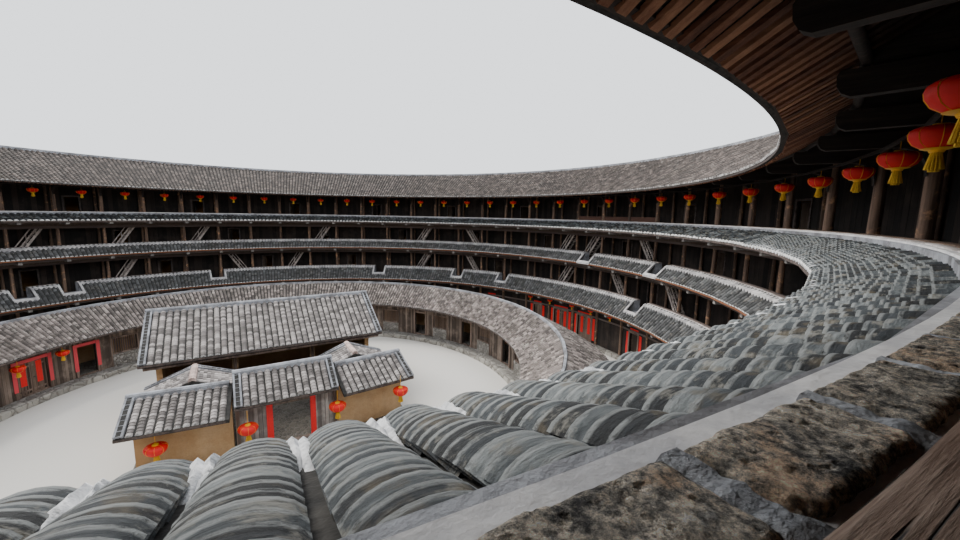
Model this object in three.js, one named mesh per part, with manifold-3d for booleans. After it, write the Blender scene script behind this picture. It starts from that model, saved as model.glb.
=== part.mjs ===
// Round earth-walled clan house (tulou): a ring of four storeys of timber galleries behind one thick
// earth wall, a one-storey ring round the court, and a small ancestral hall in the middle.
//
// Every size below is the real building's, in millimetres. The finished group is drawn at 1:2.
// Origin: centre of the ring, on the ground. +Z is up, the gate is at -Y.
// Bays are counted counter-clockwise from the gate bay, 0; a post line lies half a bay further on.
import * as THREE from 'three';
import { mergeVertices } from 'three/addons/utils/BufferGeometryUtils.js';
import Module from 'manifold-3d';

const wasm = await Module();
wasm.setup();

// Scale and plan
const MODEL_SCALE = 1 / 2;
const BAYS = 54;
const BAY_ANGLE = (2 * Math.PI) / BAYS;
const REAR_BAY = BAYS / 2;
const SEAT = 0.3 / MODEL_SCALE; // clearance between pieces that rest on each other
const SWING = 12; // clearance round a moving leaf
const OVERCUT = 100; // how far a cutting block runs past the faces it cuts

// Quarters of the ring: the bay where each one starts, clear of posts and stairs
const QUARTERS = { front: 48.75, right: 8.25, rear: 21.75, left: 35.25 };
const QUARTER_BAYS = BAYS / 4;

// Outer wall
const WALL_INNER = 27200;
const PLINTH_FOOT = 28750;
const PLINTH_HEAD = 28600;
const PLINTH_HEIGHT = 1200;
const WALL_FOOT = 28520;
const WALL_HEAD = 28200;
const WINDOW_WIDTH = 620;
const WINDOW_HEIGHT = 800;
const WINDOW_SILL = 950;
const GATE_WIDTH = 1900;
const GATE_HEIGHT = 2900;
const GATE_JAMB = 320;
const GATE_LEAF = 90;
const GATE_RECESS = 300; // from the wall's inner face to the stone frame

// Storeys
const GROUND_FLOOR = 250;
const FLOORS = { 2: 3900, 3: 6680, 4: 9350 };
const FLOOR_DEPTH = 260;
const FLOOR_EDGE = 22050;
const KERB_EDGE = 22300;
const PARAPET_INNER = 22100;
const PARAPET_OUTER = 22600;
const PARAPET_HEIGHTS = { 2: 920, 3: 920, 4: 750 };
const POST_RADIUS = 22810;
const POST_SIZE = 200;
const ROOM_WALL = 24100;
const ROOM_WALL_DEPTH = 130;
const ROOM_DOOR_WIDTH = 850;
const ROOM_DOOR_HEIGHT = 1900;
const GROUND_WALL = 22750;
const GROUND_WALL_DEPTH = 200;
const GROUND_DOOR_HEIGHT = 2000;

// Pent roofs below the galleries: eave radius, eave level, and the level where they meet the parapet
const APRONS = {
  2: { eave: 21000, eaveLevel: 3640, headLevel: 4740 },
  3: { eave: 21400, eaveLevel: 6860, headLevel: 7520 },
  4: { eave: 20900, eaveLevel: 9600, headLevel: 10040 },
};
const APRON_DEPTH = 130;
const NOTCH_WIDTH = 1050;
const NOTCH_REACH = 620; // how far a light notch reaches down an apron, measured on plan
const NOTCH_SILL = 200; // the low wall left under a notch
const NOTCHES = { 2: [32.5, 31.5, 27.65, 21.75, 18.35, 16.35, 10.6], 3: [12.7, 9.9] };

// Main roof
const RIDGE_RADIUS = 24800;
const RIDGE_LEVEL = 14550;
const INNER_EAVE_RADIUS = 20230;
const INNER_EAVE_LEVEL = 12080;
const OUTER_EAVE_RADIUS = 30300;
const ROOF_DEPTH = 180;
const ROOF_PITCH = (RIDGE_LEVEL - INNER_EAVE_LEVEL) / (RIDGE_RADIUS - INNER_EAVE_RADIUS);
const RIDGE_WIDTH = 260;
const RIDGE_HEIGHT = 190;
const BRACKET_TIP = 20950;
const BRACKET_UNDERSIDE = 11980;
const BRACKET_WIDTH = 150;
const BRACKET_SWEEP = 600; // how far the arm's curve runs down the post

// Lanterns under the inner eave, in every bay but the gate's
const LANTERN_RADIUS = 22000;
const LANTERN_RAIL = 60;
const LANTERN_WIDTH = 600;
const LANTERN_HEIGHT = 400;
const LANTERN_DROP = 160;

// Ladder stairs in the galleries: the bays that hold a flight, and which way it climbs
const STAIR_RUN = 1650;
const STAIR_STEPS = 9;
const STAIR_WIDTH = 620;
const STAIR_RADIUS = 23560;
const WELL_LENGTH = 1190; // opening in the floor above a flight
const WELL_MARGIN = 60;
const STAIR_BAYS = {
  2: [[30, 1], [27, -1], [25, 1], [20, 1], [18, -1], [14, 1], [12, -1], [10, -1]],
  3: [[32, 1], [30, 1], [28, 1], [24, 1], [20, 1], [18, -1], [14, 1], [13, 1], [11, -1]],
};

// One-storey inner ring
const INNER_EAVE = { radius: 12700, level: 2870 };
const INNER_RIDGE = { radius: 14700, level: 4300 };
const INNER_BACK = { radius: 17300, level: 2980 };
const INNER_ROOF_DEPTH = 130;
const INNER_PLATFORM = [12950, 17000];
const INNER_FLOOR = 300;
const INNER_FRONT_WALL = 13800;
const INNER_BACK_WALL = 16450;
const INNER_WALL_DEPTH = 150;
const INNER_DOOR_WIDTH = 970;
const INNER_DOOR_HEIGHT = 1850;
const INNER_DOOR_STEP = 3; // bays from one door to the next
const INNER_DOOR_START = 0.1;
const INNER_WINDOW_WIDTH = 1400;
const INNER_WINDOW_SILL = 850;
const INNER_WINDOW_SHIFT = 1.25; // bays from a door to its window
const INNER_PASSAGES = [0, 13.5, 27, 40.5]; // bays of the openings in the back wall

// Doors whose leaves are hung: the bay of each doorway and its width
const INNER_LEAVES_BAY = 34.76;
const GROUND_LEAVES_BAYS = [14, 13];
const DOUBLE_DOOR_WIDTH = 1500;
const LEAF_DEPTH = 50;
const PIVOT_RADIUS = 20;
const LEAF_JAMB_GAP = 22;
const LEAF_SETBACK = 20; // from the wall's back face to the leaf

// Ancestral hall, turned half a bay against the ring
const HALL_TURN = -BAY_ANGLE / 2;
const HALL_FLOOR = 300;
const HALL_ROOF_DEPTH = 140;
const HALL_WALL_DEPTH = 240;
const HALL_DOOR_HEAD = 3200;
const COURT_DOOR_HEAD = 2600;
const HALL_POSTS = 1900; // the shrine room's front posts, left and right of its middle
const SIDE_WALL_HEAD = 2150;
const PLATFORM_MARGIN = 350;
const BEYOND = 9000; // past everything in the court

// Materials
function finish(color, roughness) {
  return new THREE.MeshStandardMaterial({ color, roughness, metalness: 0, flatShading: true });
}
const earth = finish(0xc08a4e, 0.95);
const stone = finish(0x8b8780, 0.9);
const tile = finish(0x5b5a58, 0.85);
const mortar = finish(0xb5b3ae, 0.9);
const darkTimber = finish(0x3a2a20, 0.75);
const warmTimber = finish(0x6b4a35, 0.7);
const plankTimber = finish(0x7a6450, 0.8);
const lanternRed = finish(0xc3170f, 0.6);

// Solids

function closedMesh(geometry) {
  // Merge the shared corners, drop slivers and turn the faces outward.
  const bare = geometry.clone();
  bare.deleteAttribute('normal');
  bare.deleteAttribute('uv');
  const merged = mergeVertices(bare, 1e-2);
  const position = merged.attributes.position;
  const triangles = [];
  const corner = [new THREE.Vector3(), new THREE.Vector3(), new THREE.Vector3()];
  let volume = 0;
  for (let i = 0; i < merged.index.count; i += 3) {
    const ids = [0, 1, 2].map((k) => merged.index.getX(i + k));
    if (new Set(ids).size < 3) continue;
    ids.forEach((id, k) => corner[k].fromBufferAttribute(position, id));
    volume += corner[0].dot(corner[1].clone().cross(corner[2]));
    triangles.push(...ids);
  }
  if (volume < 0) triangles.reverse();
  return { position, triangles };
}

function solid(geometry) {
  const { position, triangles } = closedMesh(geometry);
  const mesh = new wasm.Mesh({
    numProp: 3,
    vertProperties: new Float32Array(position.array),
    triVerts: new Uint32Array(triangles),
  });
  return new wasm.Manifold(mesh);
}

const join = (solids) => wasm.Manifold.union(solids);
const cut = (body, tools) => (tools.length ? body.subtract(join(tools)) : body);

function piece(name, body, material) {
  const { vertProperties, triVerts, numProp } = body.getMesh();
  const positions = new Float32Array((vertProperties.length / numProp) * 3);
  for (let i = 0; i < positions.length / 3; i += 1) {
    positions.set(vertProperties.subarray(i * numProp, i * numProp + 3), i * 3);
  }
  const geometry = new THREE.BufferGeometry();
  geometry.setAttribute('position', new THREE.BufferAttribute(positions, 3));
  geometry.setIndex(new THREE.BufferAttribute(new Uint32Array(triVerts), 1));
  geometry.computeVertexNormals();
  const mesh = new THREE.Mesh(geometry, material);
  mesh.name = name;
  return mesh;
}

// Turn that carries the rear bay onto the given bay.
const bayTurn = (bay) => (bay - REAR_BAY) * BAY_ANGLE;

// A ring with one facet a bay: radii are measured to the middle of a facet.
function ringGeometry(profile) {
  const cornerReach = 1 / Math.cos(BAY_ANGLE / 2);
  const points = [...profile, profile[0]].map(([r, z]) => new THREE.Vector2(r * cornerReach, z));
  const geometry = new THREE.LatheGeometry(points, BAYS, BAY_ANGLE / 2);
  geometry.rotateX(Math.PI / 2);
  return geometry;
}
const ring = (profile) => solid(ringGeometry(profile));
const rectRing = (r0, r1, z0, z1) => ring([[r0, z0], [r1, z0], [r1, z1], [r0, z1]]);

// A block in a bay: along the ring, across it and up.
function bayBlock(bay, width, r0, r1, z0, z1, offset = 0) {
  const geometry = new THREE.BoxGeometry(width, r1 - r0, z1 - z0);
  geometry.translate(offset, (r0 + r1) / 2, (z0 + z1) / 2);
  geometry.rotateZ(bayTurn(bay));
  return solid(geometry);
}

// An outline in the (radius, level) plane, given a width along the ring.
function bayRib(bay, width, outline) {
  const shape = new THREE.Shape(outline.map(([r, z]) => new THREE.Vector2(r, z)));
  const geometry = new THREE.ExtrudeGeometry(shape, { depth: width, bevelEnabled: false });
  geometry.translate(0, 0, -width / 2);
  geometry.rotateX(Math.PI / 2);
  geometry.rotateZ(Math.PI / 2);
  geometry.rotateZ(bayTurn(bay));
  return solid(geometry);
}

// A wedge of the plan, between two post lines, for cutting a ring into arcs.
function planWedge(fromBay, toBay, reach, height) {
  const shape = new THREE.Shape();
  const angle = (bay) => -Math.PI / 2 + bay * BAY_ANGLE;
  const steps = 3;
  shape.moveTo(0, 0);
  for (let i = 0; i <= steps; i += 1) {
    const a = angle(fromBay + ((toBay - fromBay) * i) / steps);
    shape.lineTo(reach * Math.cos(a), reach * Math.sin(a));
  }
  return solid(new THREE.ExtrudeGeometry(shape, { depth: height, bevelEnabled: false }));
}

const inQuarter = (bay, start) => (bay - start + 2 * BAYS) % BAYS < QUARTER_BAYS;

// The plan wedge of a quarter, a hair narrower than the quarter itself.
function quarterWedge(start) {
  const slack = SEAT / 2 / (WALL_INNER * BAY_ANGLE);
  return planWedge(start + slack, start + QUARTER_BAYS - slack, 1.3 * PLINTH_FOOT, RIDGE_LEVEL);
}

function block(x0, x1, y0, y1, z0, z1) {
  const geometry = new THREE.BoxGeometry(x1 - x0, y1 - y0, z1 - z0);
  geometry.translate((x0 + x1) / 2, (y0 + y1) / 2, (z0 + z1) / 2);
  return solid(geometry);
}

const bayList = (step, start = 0) => {
  const bays = [];
  for (let bay = start; bay < BAYS; bay += step) bays.push(bay);
  return bays;
};

// Underside of the main roof at a radius, measured to the middle of a facet.
function roofUnderside(radius) {
  return RIDGE_LEVEL - ROOF_PITCH * Math.abs(RIDGE_RADIUS - radius) - ROOF_DEPTH;
}

// The same on a post line, where two facets of the roof meet.
const postUnderside = (radius) => roofUnderside(radius * Math.cos(BAY_ANGLE / 2));

// Outer wall, plinth and gate

const gateCut = (z0) => bayBlock(0, GATE_WIDTH + 2 * GATE_JAMB, WALL_INNER - OVERCUT,
  PLINTH_FOOT + OVERCUT, z0, GATE_HEIGHT + GATE_JAMB);

function stonePlinth() {
  const body = ring([[WALL_INNER, 0], [PLINTH_FOOT, 0], [PLINTH_HEAD, PLINTH_HEIGHT],
    [WALL_INNER, PLINTH_HEIGHT]]);
  return piece('stone_plinth', cut(body, [gateCut(-OVERCUT)]), stone);
}

function wallWindow(bay, storey) {
  const sill = FLOORS[storey] + WINDOW_SILL;
  return bayBlock(bay, WINDOW_WIDTH, WALL_INNER - OVERCUT, PLINTH_FOOT, sill, sill + WINDOW_HEIGHT);
}

function earthWall() {
  const foot = PLINTH_HEIGHT + SEAT;
  const body = ring([[WALL_INNER, foot], [WALL_FOOT, foot],
    [WALL_HEAD, roofUnderside(WALL_HEAD) - SEAT], [WALL_INNER, roofUnderside(WALL_INNER) - SEAT]]);
  return Object.entries(QUARTERS).map(([word, start]) => {
    const bays = bayList(2).filter((bay) => inQuarter(bay, start));
    const holes = bays.flatMap((bay) => [wallWindow(bay, 3), wallWindow(bay, 4)]);
    if (word === 'front') holes.push(gateCut(foot - OVERCUT));
    return piece(`earth_wall_${word}`, cut(body.intersect(quarterWedge(start)), holes), earth);
  });
}

function gate() {
  const half = GATE_WIDTH / 2;
  const out = half + GATE_JAMB - SEAT;
  const back = WALL_INNER + GATE_RECESS;
  const front = PLINTH_FOOT + 40;
  const frame = bayBlock(0, 2 * out, back, front, 0, GATE_HEIGHT + GATE_JAMB - SEAT)
    .subtract(bayBlock(0, GATE_WIDTH, back - OVERCUT, front + OVERCUT, -OVERCUT, GATE_HEIGHT));
  const hinge = back + GATE_RECESS - 50;
  const leaf = (side) => bayBlock(0, GATE_LEAF, hinge, hinge + half - SWING, SWING, GATE_HEIGHT - SWING,
    side * (half - GATE_LEAF / 2 - SEAT));
  return [
    piece('gate_frame', frame, stone),
    piece('gate_leaf_left', leaf(1), darkTimber),
    piece('gate_leaf_right', leaf(-1), darkTimber),
  ];
}

// Galleries: floor, posts and ladder stairs

const storeyHead = (storey) => FLOORS[storey + 1] - FLOOR_DEPTH;

function stairFlight(bay, way, foot, head) {
  // Saw-toothed ladder stair: treads on top, a straight soffit below.
  const rise = (head - foot) / STAIR_STEPS;
  const going = STAIR_RUN / STAIR_STEPS;
  const shape = new THREE.Shape();
  shape.moveTo(0, 0);
  for (let i = 0; i < STAIR_STEPS; i += 1) {
    shape.lineTo(i * going, (i + 1) * rise);
    shape.lineTo((i + 1) * going, (i + 1) * rise);
  }
  shape.lineTo(STAIR_RUN, (STAIR_STEPS - 1.4) * rise);
  shape.lineTo(1.3 * going, 0);
  const geometry = new THREE.ExtrudeGeometry(shape, { depth: STAIR_WIDTH, bevelEnabled: false });
  geometry.translate(-STAIR_RUN / 2, 0, -STAIR_WIDTH / 2);
  geometry.rotateX(Math.PI / 2);
  if (way < 0) geometry.rotateZ(Math.PI);
  geometry.translate(0, STAIR_RADIUS, foot - 1);
  geometry.rotateZ(bayTurn(bay));
  return solid(geometry);
}

function stairWell(bay, way, floor) {
  const shift = way * (STAIR_RUN / 2 - WELL_LENGTH / 2 + WELL_MARGIN);
  const half = STAIR_WIDTH / 2 + WELL_MARGIN;
  return bayBlock(bay, WELL_LENGTH, STAIR_RADIUS - half, STAIR_RADIUS + half,
    floor - FLOOR_DEPTH - OVERCUT, floor + OVERCUT, shift);
}

function galleryPost(bay, storey) {
  const floor = FLOORS[storey];
  const inner = POST_RADIUS - POST_SIZE / 2;
  const outer = POST_RADIUS + POST_SIZE / 2;
  if (storey === 4) return bayRib(bay, BRACKET_WIDTH, bracketOutline(floor, inner, outer));
  return bayBlock(bay, POST_SIZE, inner, outer, floor - 1, storeyHead(storey) - SEAT);
}

// One storey's gallery in four quarters: the floor, its posts and the flights that stand on it.
function gallery(storey) {
  const floor = FLOORS[storey];
  const ringFloor = rectRing(FLOOR_EDGE, WALL_INNER - SEAT, floor - FLOOR_DEPTH, floor);
  return Object.entries(QUARTERS).map(([word, start]) => {
    const here = ([bay]) => inQuarter(bay, start);
    const posts = bayList(1, 0.5).filter((bay) => inQuarter(bay, start));
    const flights = (STAIR_BAYS[storey] ?? []).filter(here);
    const wells = (STAIR_BAYS[storey - 1] ?? []).filter(here);
    const body = join([
      ringFloor.intersect(quarterWedge(start)),
      ...posts.map((bay) => galleryPost(bay, storey)),
      ...flights.map(([bay, way]) => stairFlight(bay, way, floor, storeyHead(storey) - SEAT)),
    ]);
    const holes = wells.map(([bay, way]) => stairWell(bay, way, floor));
    return piece(`gallery_${storey}_${word}`, cut(body, holes), warmTimber);
  });
}

function bracketOutline(floor, inner, outer) {
  // Top-storey post with the curved arm that carries the overhanging eave.
  const curve = new THREE.QuadraticBezierCurve(
    new THREE.Vector2(LANTERN_RADIUS + 120, BRACKET_UNDERSIDE),
    new THREE.Vector2(inner, BRACKET_UNDERSIDE),
    new THREE.Vector2(inner, BRACKET_UNDERSIDE - BRACKET_SWEEP),
  );
  return [
    [outer, floor - 1],
    [outer, postUnderside(outer) - SEAT],
    [BRACKET_TIP, postUnderside(BRACKET_TIP) - SEAT],
    [BRACKET_TIP, BRACKET_UNDERSIDE],
    ...curve.getPoints(3).map((p) => [p.x, p.y]),
    [inner, floor - 1],
  ];
}

function parapet(storey) {
  const floor = FLOORS[storey];
  const head = floor + PARAPET_HEIGHTS[storey];
  const body = rectRing(PARAPET_INNER, PARAPET_OUTER, floor + SEAT, head);
  const openings = (NOTCHES[storey] ?? []).map((bay) => bayBlock(bay, NOTCH_WIDTH,
    PARAPET_INNER - OVERCUT, PARAPET_OUTER + OVERCUT, floor + NOTCH_SILL, head + OVERCUT));
  return piece(`parapet_${storey}`, cut(body, openings), mortar);
}

function apron(storey) {
  const { eave, eaveLevel, headLevel } = APRONS[storey];
  const head = PARAPET_INNER - SEAT;
  const body = ring([[eave, eaveLevel], [head, headLevel], [head, headLevel - APRON_DEPTH],
    [eave, eaveLevel - APRON_DEPTH]]);
  const notches = (NOTCHES[storey] ?? []).map((bay) => bayBlock(bay, NOTCH_WIDTH,
    PARAPET_INNER - NOTCH_REACH, PARAPET_OUTER, eaveLevel - APRON_DEPTH - OVERCUT, headLevel + OVERCUT));
  return piece(`apron_${storey}`, cut(body, notches), tile);
}

// Room walls

function roomWall(storey) {
  const foot = FLOORS[storey] + SEAT;
  const head = (storey === 4 ? roofUnderside(ROOM_WALL) : storeyHead(storey)) - SEAT;
  const body = rectRing(ROOM_WALL, ROOM_WALL + ROOM_WALL_DEPTH, foot, head);
  const doors = bayList(3, storey % 3).map((bay) => bayBlock(bay, ROOM_DOOR_WIDTH, ROOM_WALL - OVERCUT,
    ROOM_WALL + ROOM_WALL_DEPTH + OVERCUT, foot - OVERCUT, foot + ROOM_DOOR_HEIGHT));
  return piece(`room_wall_${storey}`, cut(body, doors), darkTimber);
}

function groundWall() {
  const foot = GROUND_FLOOR + SEAT;
  const head = FLOORS[2] - FLOOR_DEPTH - SEAT;
  const body = rectRing(GROUND_WALL, GROUND_WALL + GROUND_WALL_DEPTH, foot, head);
  const wide = [0, ...GROUND_LEAVES_BAYS];
  const doors = new Set([...bayList(2, 1), ...wide]);
  const holes = [...doors].map((bay) => {
    const width = wide.includes(bay) ? DOUBLE_DOOR_WIDTH : ROOM_DOOR_WIDTH;
    return bayBlock(bay, width, GROUND_WALL - OVERCUT, GROUND_WALL + GROUND_WALL_DEPTH + OVERCUT,
      foot - OVERCUT, foot + GROUND_DOOR_HEIGHT);
  });
  return piece('room_wall_1', cut(body, holes), darkTimber);
}

// Main roof

function mainRoof() {
  const gap = SEAT / 2;
  const slope = (radius) => RIDGE_LEVEL - ROOF_PITCH * Math.abs(RIDGE_RADIUS - radius);
  const side = (eave, ridge) => ring([[eave, slope(eave)], [ridge, slope(ridge)],
    [ridge, slope(ridge) - ROOF_DEPTH], [eave, slope(eave) - ROOF_DEPTH]]);
  const half = RIDGE_WIDTH / 2;
  const seat = slope(RIDGE_RADIUS - half) + SEAT;
  const ridge = ring([[RIDGE_RADIUS - half, seat], [RIDGE_RADIUS, slope(RIDGE_RADIUS) + SEAT],
    [RIDGE_RADIUS + half, seat], [RIDGE_RADIUS + half, seat + RIDGE_HEIGHT],
    [RIDGE_RADIUS - half, seat + RIDGE_HEIGHT]]);
  return [
    piece('roof_inner_slope', side(INNER_EAVE_RADIUS, RIDGE_RADIUS - gap), tile),
    piece('roof_outer_slope', side(OUTER_EAVE_RADIUS, RIDGE_RADIUS + gap), tile),
    piece('roof_ridge', ridge, mortar),
  ];
}

// Lanterns

function lanterns() {
  const railTop = BRACKET_UNDERSIDE - SEAT;
  const railFoot = railTop - LANTERN_RAIL;
  const half = LANTERN_RAIL / 2;
  const parts = [rectRing(LANTERN_RADIUS - half, LANTERN_RADIUS + half, railFoot, railTop)];
  const top = railFoot - LANTERN_DROP;
  const radius = LANTERN_WIDTH / 2;
  const outline = [
    [0, railFoot + half], [radius, top - LANTERN_HEIGHT / 2],
    [0.35 * radius, top - LANTERN_HEIGHT], [0, top - LANTERN_HEIGHT],
  ].map(([r, z]) => new THREE.Vector2(r, z));
  for (const bay of bayList(1, 1)) {
    const geometry = new THREE.LatheGeometry(outline, 6);
    geometry.rotateX(Math.PI / 2);
    geometry.translate(0, LANTERN_RADIUS, 0);
    geometry.rotateZ(bayTurn(bay));
    parts.push(solid(geometry));
  }
  return piece('lanterns', join(parts), lanternRed);
}

// Inner ring

function innerUnderside(radius) {
  const { radius: r0, level: z0 } = INNER_RIDGE;
  const far = radius < r0 ? INNER_EAVE : INNER_BACK;
  const share = (radius - r0) / (far.radius - r0);
  return z0 + share * (far.level - z0) - INNER_ROOF_DEPTH;
}

function innerRing() {
  const foot = INNER_FLOOR + SEAT;
  const wall = (radius) => ring([[radius, foot], [radius + INNER_WALL_DEPTH, foot],
    [radius + INNER_WALL_DEPTH, innerUnderside(radius + INNER_WALL_DEPTH) - SEAT],
    [radius, innerUnderside(radius) - SEAT]]);
  const through = (bay, width, radius, sill) => bayBlock(bay, width, radius - OVERCUT,
    radius + INNER_WALL_DEPTH + OVERCUT, sill, foot + INNER_DOOR_HEIGHT);
  const doorFoot = foot - OVERCUT;
  const frontHoles = [through(INNER_LEAVES_BAY, DOUBLE_DOOR_WIDTH, INNER_FRONT_WALL, doorFoot)];
  for (const bay of bayList(INNER_DOOR_STEP, INNER_DOOR_START)) {
    if (Math.abs(bay - INNER_LEAVES_BAY) < INNER_DOOR_STEP / 2) continue;
    frontHoles.push(through(bay, INNER_DOOR_WIDTH, INNER_FRONT_WALL, doorFoot));
    frontHoles.push(through(bay - INNER_WINDOW_SHIFT, INNER_WINDOW_WIDTH, INNER_FRONT_WALL,
      foot + INNER_WINDOW_SILL));
  }
  const backHoles = INNER_PASSAGES.map((bay) => through(bay, INNER_WINDOW_WIDTH, INNER_BACK_WALL, doorFoot));
  const { radius: re, level: ze } = INNER_EAVE;
  const { radius: rr, level: zr } = INNER_RIDGE;
  const { radius: rb, level: zb } = INNER_BACK;
  const depth = INNER_ROOF_DEPTH;
  const roof = ring([[re, ze], [rr, zr], [rb, zb], [rb, zb - depth], [rr, zr - depth], [re, ze - depth]]);
  return [
    piece('inner_platform', rectRing(...INNER_PLATFORM, 0, INNER_FLOOR), stone),
    piece('inner_front_wall', cut(wall(INNER_FRONT_WALL), frontHoles), plankTimber),
    piece('inner_back_wall', cut(wall(INNER_BACK_WALL), backHoles), earth),
    piece('inner_roof', roof, tile),
  ];
}

// Hung door leaves

function doorLeaf(name, bay, side, radius, depth, foot, head, material) {
  // The pivot post turns on the sill and under the lintel; side is -1 or 1 along the ring.
  const width = DOUBLE_DOOR_WIDTH / 2 - LEAF_JAMB_GAP - SWING / 2;
  const stile = LEAF_DEPTH / 2;
  const plate = block(side * stile, side * (stile - width), -stile, stile, foot + SWING, head - SWING);
  const pin = new THREE.CylinderGeometry(PIVOT_RADIUS, PIVOT_RADIUS, head - foot - 2 * SEAT, 8);
  pin.rotateX(Math.PI / 2);
  pin.translate(0, 0, (foot + head) / 2);
  const leaf = piece(name, join([plate, solid(pin)]), material);
  leaf.position.set(side * (DOUBLE_DOOR_WIDTH / 2 - LEAF_JAMB_GAP - stile),
    radius + depth - stile - LEAF_SETBACK, 0);
  const holder = new THREE.Group();
  holder.rotation.z = bayTurn(bay);
  holder.add(leaf);
  return holder;
}

function hungDoors() {
  const innerHead = INNER_FLOOR + SEAT + INNER_DOOR_HEIGHT;
  const groundHead = GROUND_FLOOR + SEAT + GROUND_DOOR_HEIGHT;
  const leaves = [];
  for (const [word, side] of [['left', -1], ['right', 1]]) {
    leaves.push(doorLeaf(`inner_door_${word}`, INNER_LEAVES_BAY, side, INNER_FRONT_WALL, INNER_WALL_DEPTH,
      INNER_FLOOR, innerHead, plankTimber));
    GROUND_LEAVES_BAYS.forEach((bay, i) => {
      leaves.push(doorLeaf(`ground_door_${i + 1}_${word}`, bay, side, GROUND_WALL, GROUND_WALL_DEPTH,
        GROUND_FLOOR, groundHead, darkTimber));
    });
  }
  return leaves;
}

// Ancestral hall: coordinates are the hall's own, x along its front and y towards its back.

// A gabled roof over a front eave, a ridge and a back eave, each a [y, level] pair.
const MAIN_ROOF = { front: [330, 3350], ridge: [3500, 5200], back: [6700, 3350] };
const CENTRE_ROOF = { front: [-4900, 2700], ridge: [-3500, 3650], back: [-2200, 2800] };
const WING_ROOF = { front: [-1600, 2400], ridge: [0, 3250], back: [1300, 2560] };
const MAIN_HALL_SPAN = [-5660, 5700];
const MAIN_WALLS = [1230, 6100]; // outer faces of its front and back walls
const CENTRE_SPAN = [-2000, 2000];
const CENTRE_INSET = 40; // of the front wall's ends from the roof's
const WING_LENGTH = 3500;
const WING_WALL_LENGTH = 3200;
const WING_TURN = THREE.MathUtils.degToRad(6);
const FRONT_LINE = -4250; // outer face of the front wall
const SIDE_LINE = 5150; // outer face of the side walls
const COURT_DOOR = [-780, 960];
const SIDE_ROOF = { ridge: 3500, span: 1850, top: 3100, eave: 2380, front: -2700, back: -100 };

const throughX = (x0, x1, outline) => {
  const shape = new THREE.Shape(outline.map(([y, z]) => new THREE.Vector2(y, z)));
  const geometry = new THREE.ExtrudeGeometry(shape, { depth: x1 - x0, bevelEnabled: false });
  geometry.rotateX(Math.PI / 2);
  geometry.rotateZ(Math.PI / 2);
  geometry.translate(x0, 0, 0);
  return solid(geometry);
};
const lowered = ([y, z], drop) => [y, z - drop];

function gableRoof(x0, x1, { front, ridge, back }) {
  const under = [back, ridge, front].map((point) => lowered(point, HALL_ROOF_DEPTH));
  return throughX(x0, x1, [front, ridge, back, ...under]);
}

// Everything from the hall floor up to just under a gabled roof.
function underGable(x0, x1, { front, ridge, back }) {
  const drop = HALL_ROOF_DEPTH + SEAT;
  const foot = HALL_FLOOR + SEAT;
  return throughX(x0, x1, [[front[0], foot], lowered(front, drop), lowered(ridge, drop), lowered(back, drop),
    [back[0], foot]]);
}

const TALL = RIDGE_LEVEL;

function mainHall() {
  const [x0, x1] = MAIN_HALL_SPAN;
  const t = HALL_WALL_DEPTH;
  const [front, back] = MAIN_WALLS;
  const frontPost = (x) => block(x - t / 2, x + t / 2, front, front + t, 0, TALL);
  const walls = join([
    block(-SIDE_LINE, t - SIDE_LINE, front, back, 0, TALL),
    block(SIDE_LINE - t, SIDE_LINE, front, back, 0, TALL),
    block(-SIDE_LINE, SIDE_LINE, back - t, back, 0, TALL),
    block(-SIDE_LINE, SIDE_LINE, front, front + t, HALL_DOOR_HEAD, TALL),
    frontPost(-HALL_POSTS),
    frontPost(HALL_POSTS),
  ]).intersect(underGable(x0, x1, MAIN_ROOF));
  return [piece('hall_walls', walls, earth), piece('hall_roof', gableRoof(x0, x1, MAIN_ROOF), tile)];
}

// Place a wing's pieces: side is -1 on the left, 1 on the right.
function wing(body, side) {
  const degrees = THREE.MathUtils.radToDeg(side * WING_TURN);
  return body.rotate([0, 0, degrees]).translate([side * CENTRE_SPAN[1], CENTRE_ROOF.ridge[0], 0]);
}
const wingSpan = (side, from, to) => (side > 0 ? [from, to] : [-to, -from]);

function frontCentre() {
  const [x0, x1] = CENTRE_SPAN;
  const roof = gableRoof(x0, x1, CENTRE_ROOF);
  const t = HALL_WALL_DEPTH;
  const frontWall = (from, to, foot) => block(from, to, FRONT_LINE, FRONT_LINE + t, foot, TALL);
  const [left, right] = [x0 + CENTRE_INSET, x1 - CENTRE_INSET];
  const walls = join([
    frontWall(left, COURT_DOOR[0], 0),
    frontWall(COURT_DOOR[1], right, 0),
    frontWall(left, right, COURT_DOOR_HEAD),
  ]).intersect(underGable(x0, x1, CENTRE_ROOF));
  return [piece('front_roof_centre', roof, tile), piece('front_wall_centre', walls, plankTimber)];
}

function sideRoofUnderside(x) {
  const { ridge, span, top, eave } = SIDE_ROOF;
  return top - ((top - eave) * Math.abs(Math.abs(x) - ridge)) / span - HALL_ROOF_DEPTH;
}

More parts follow.
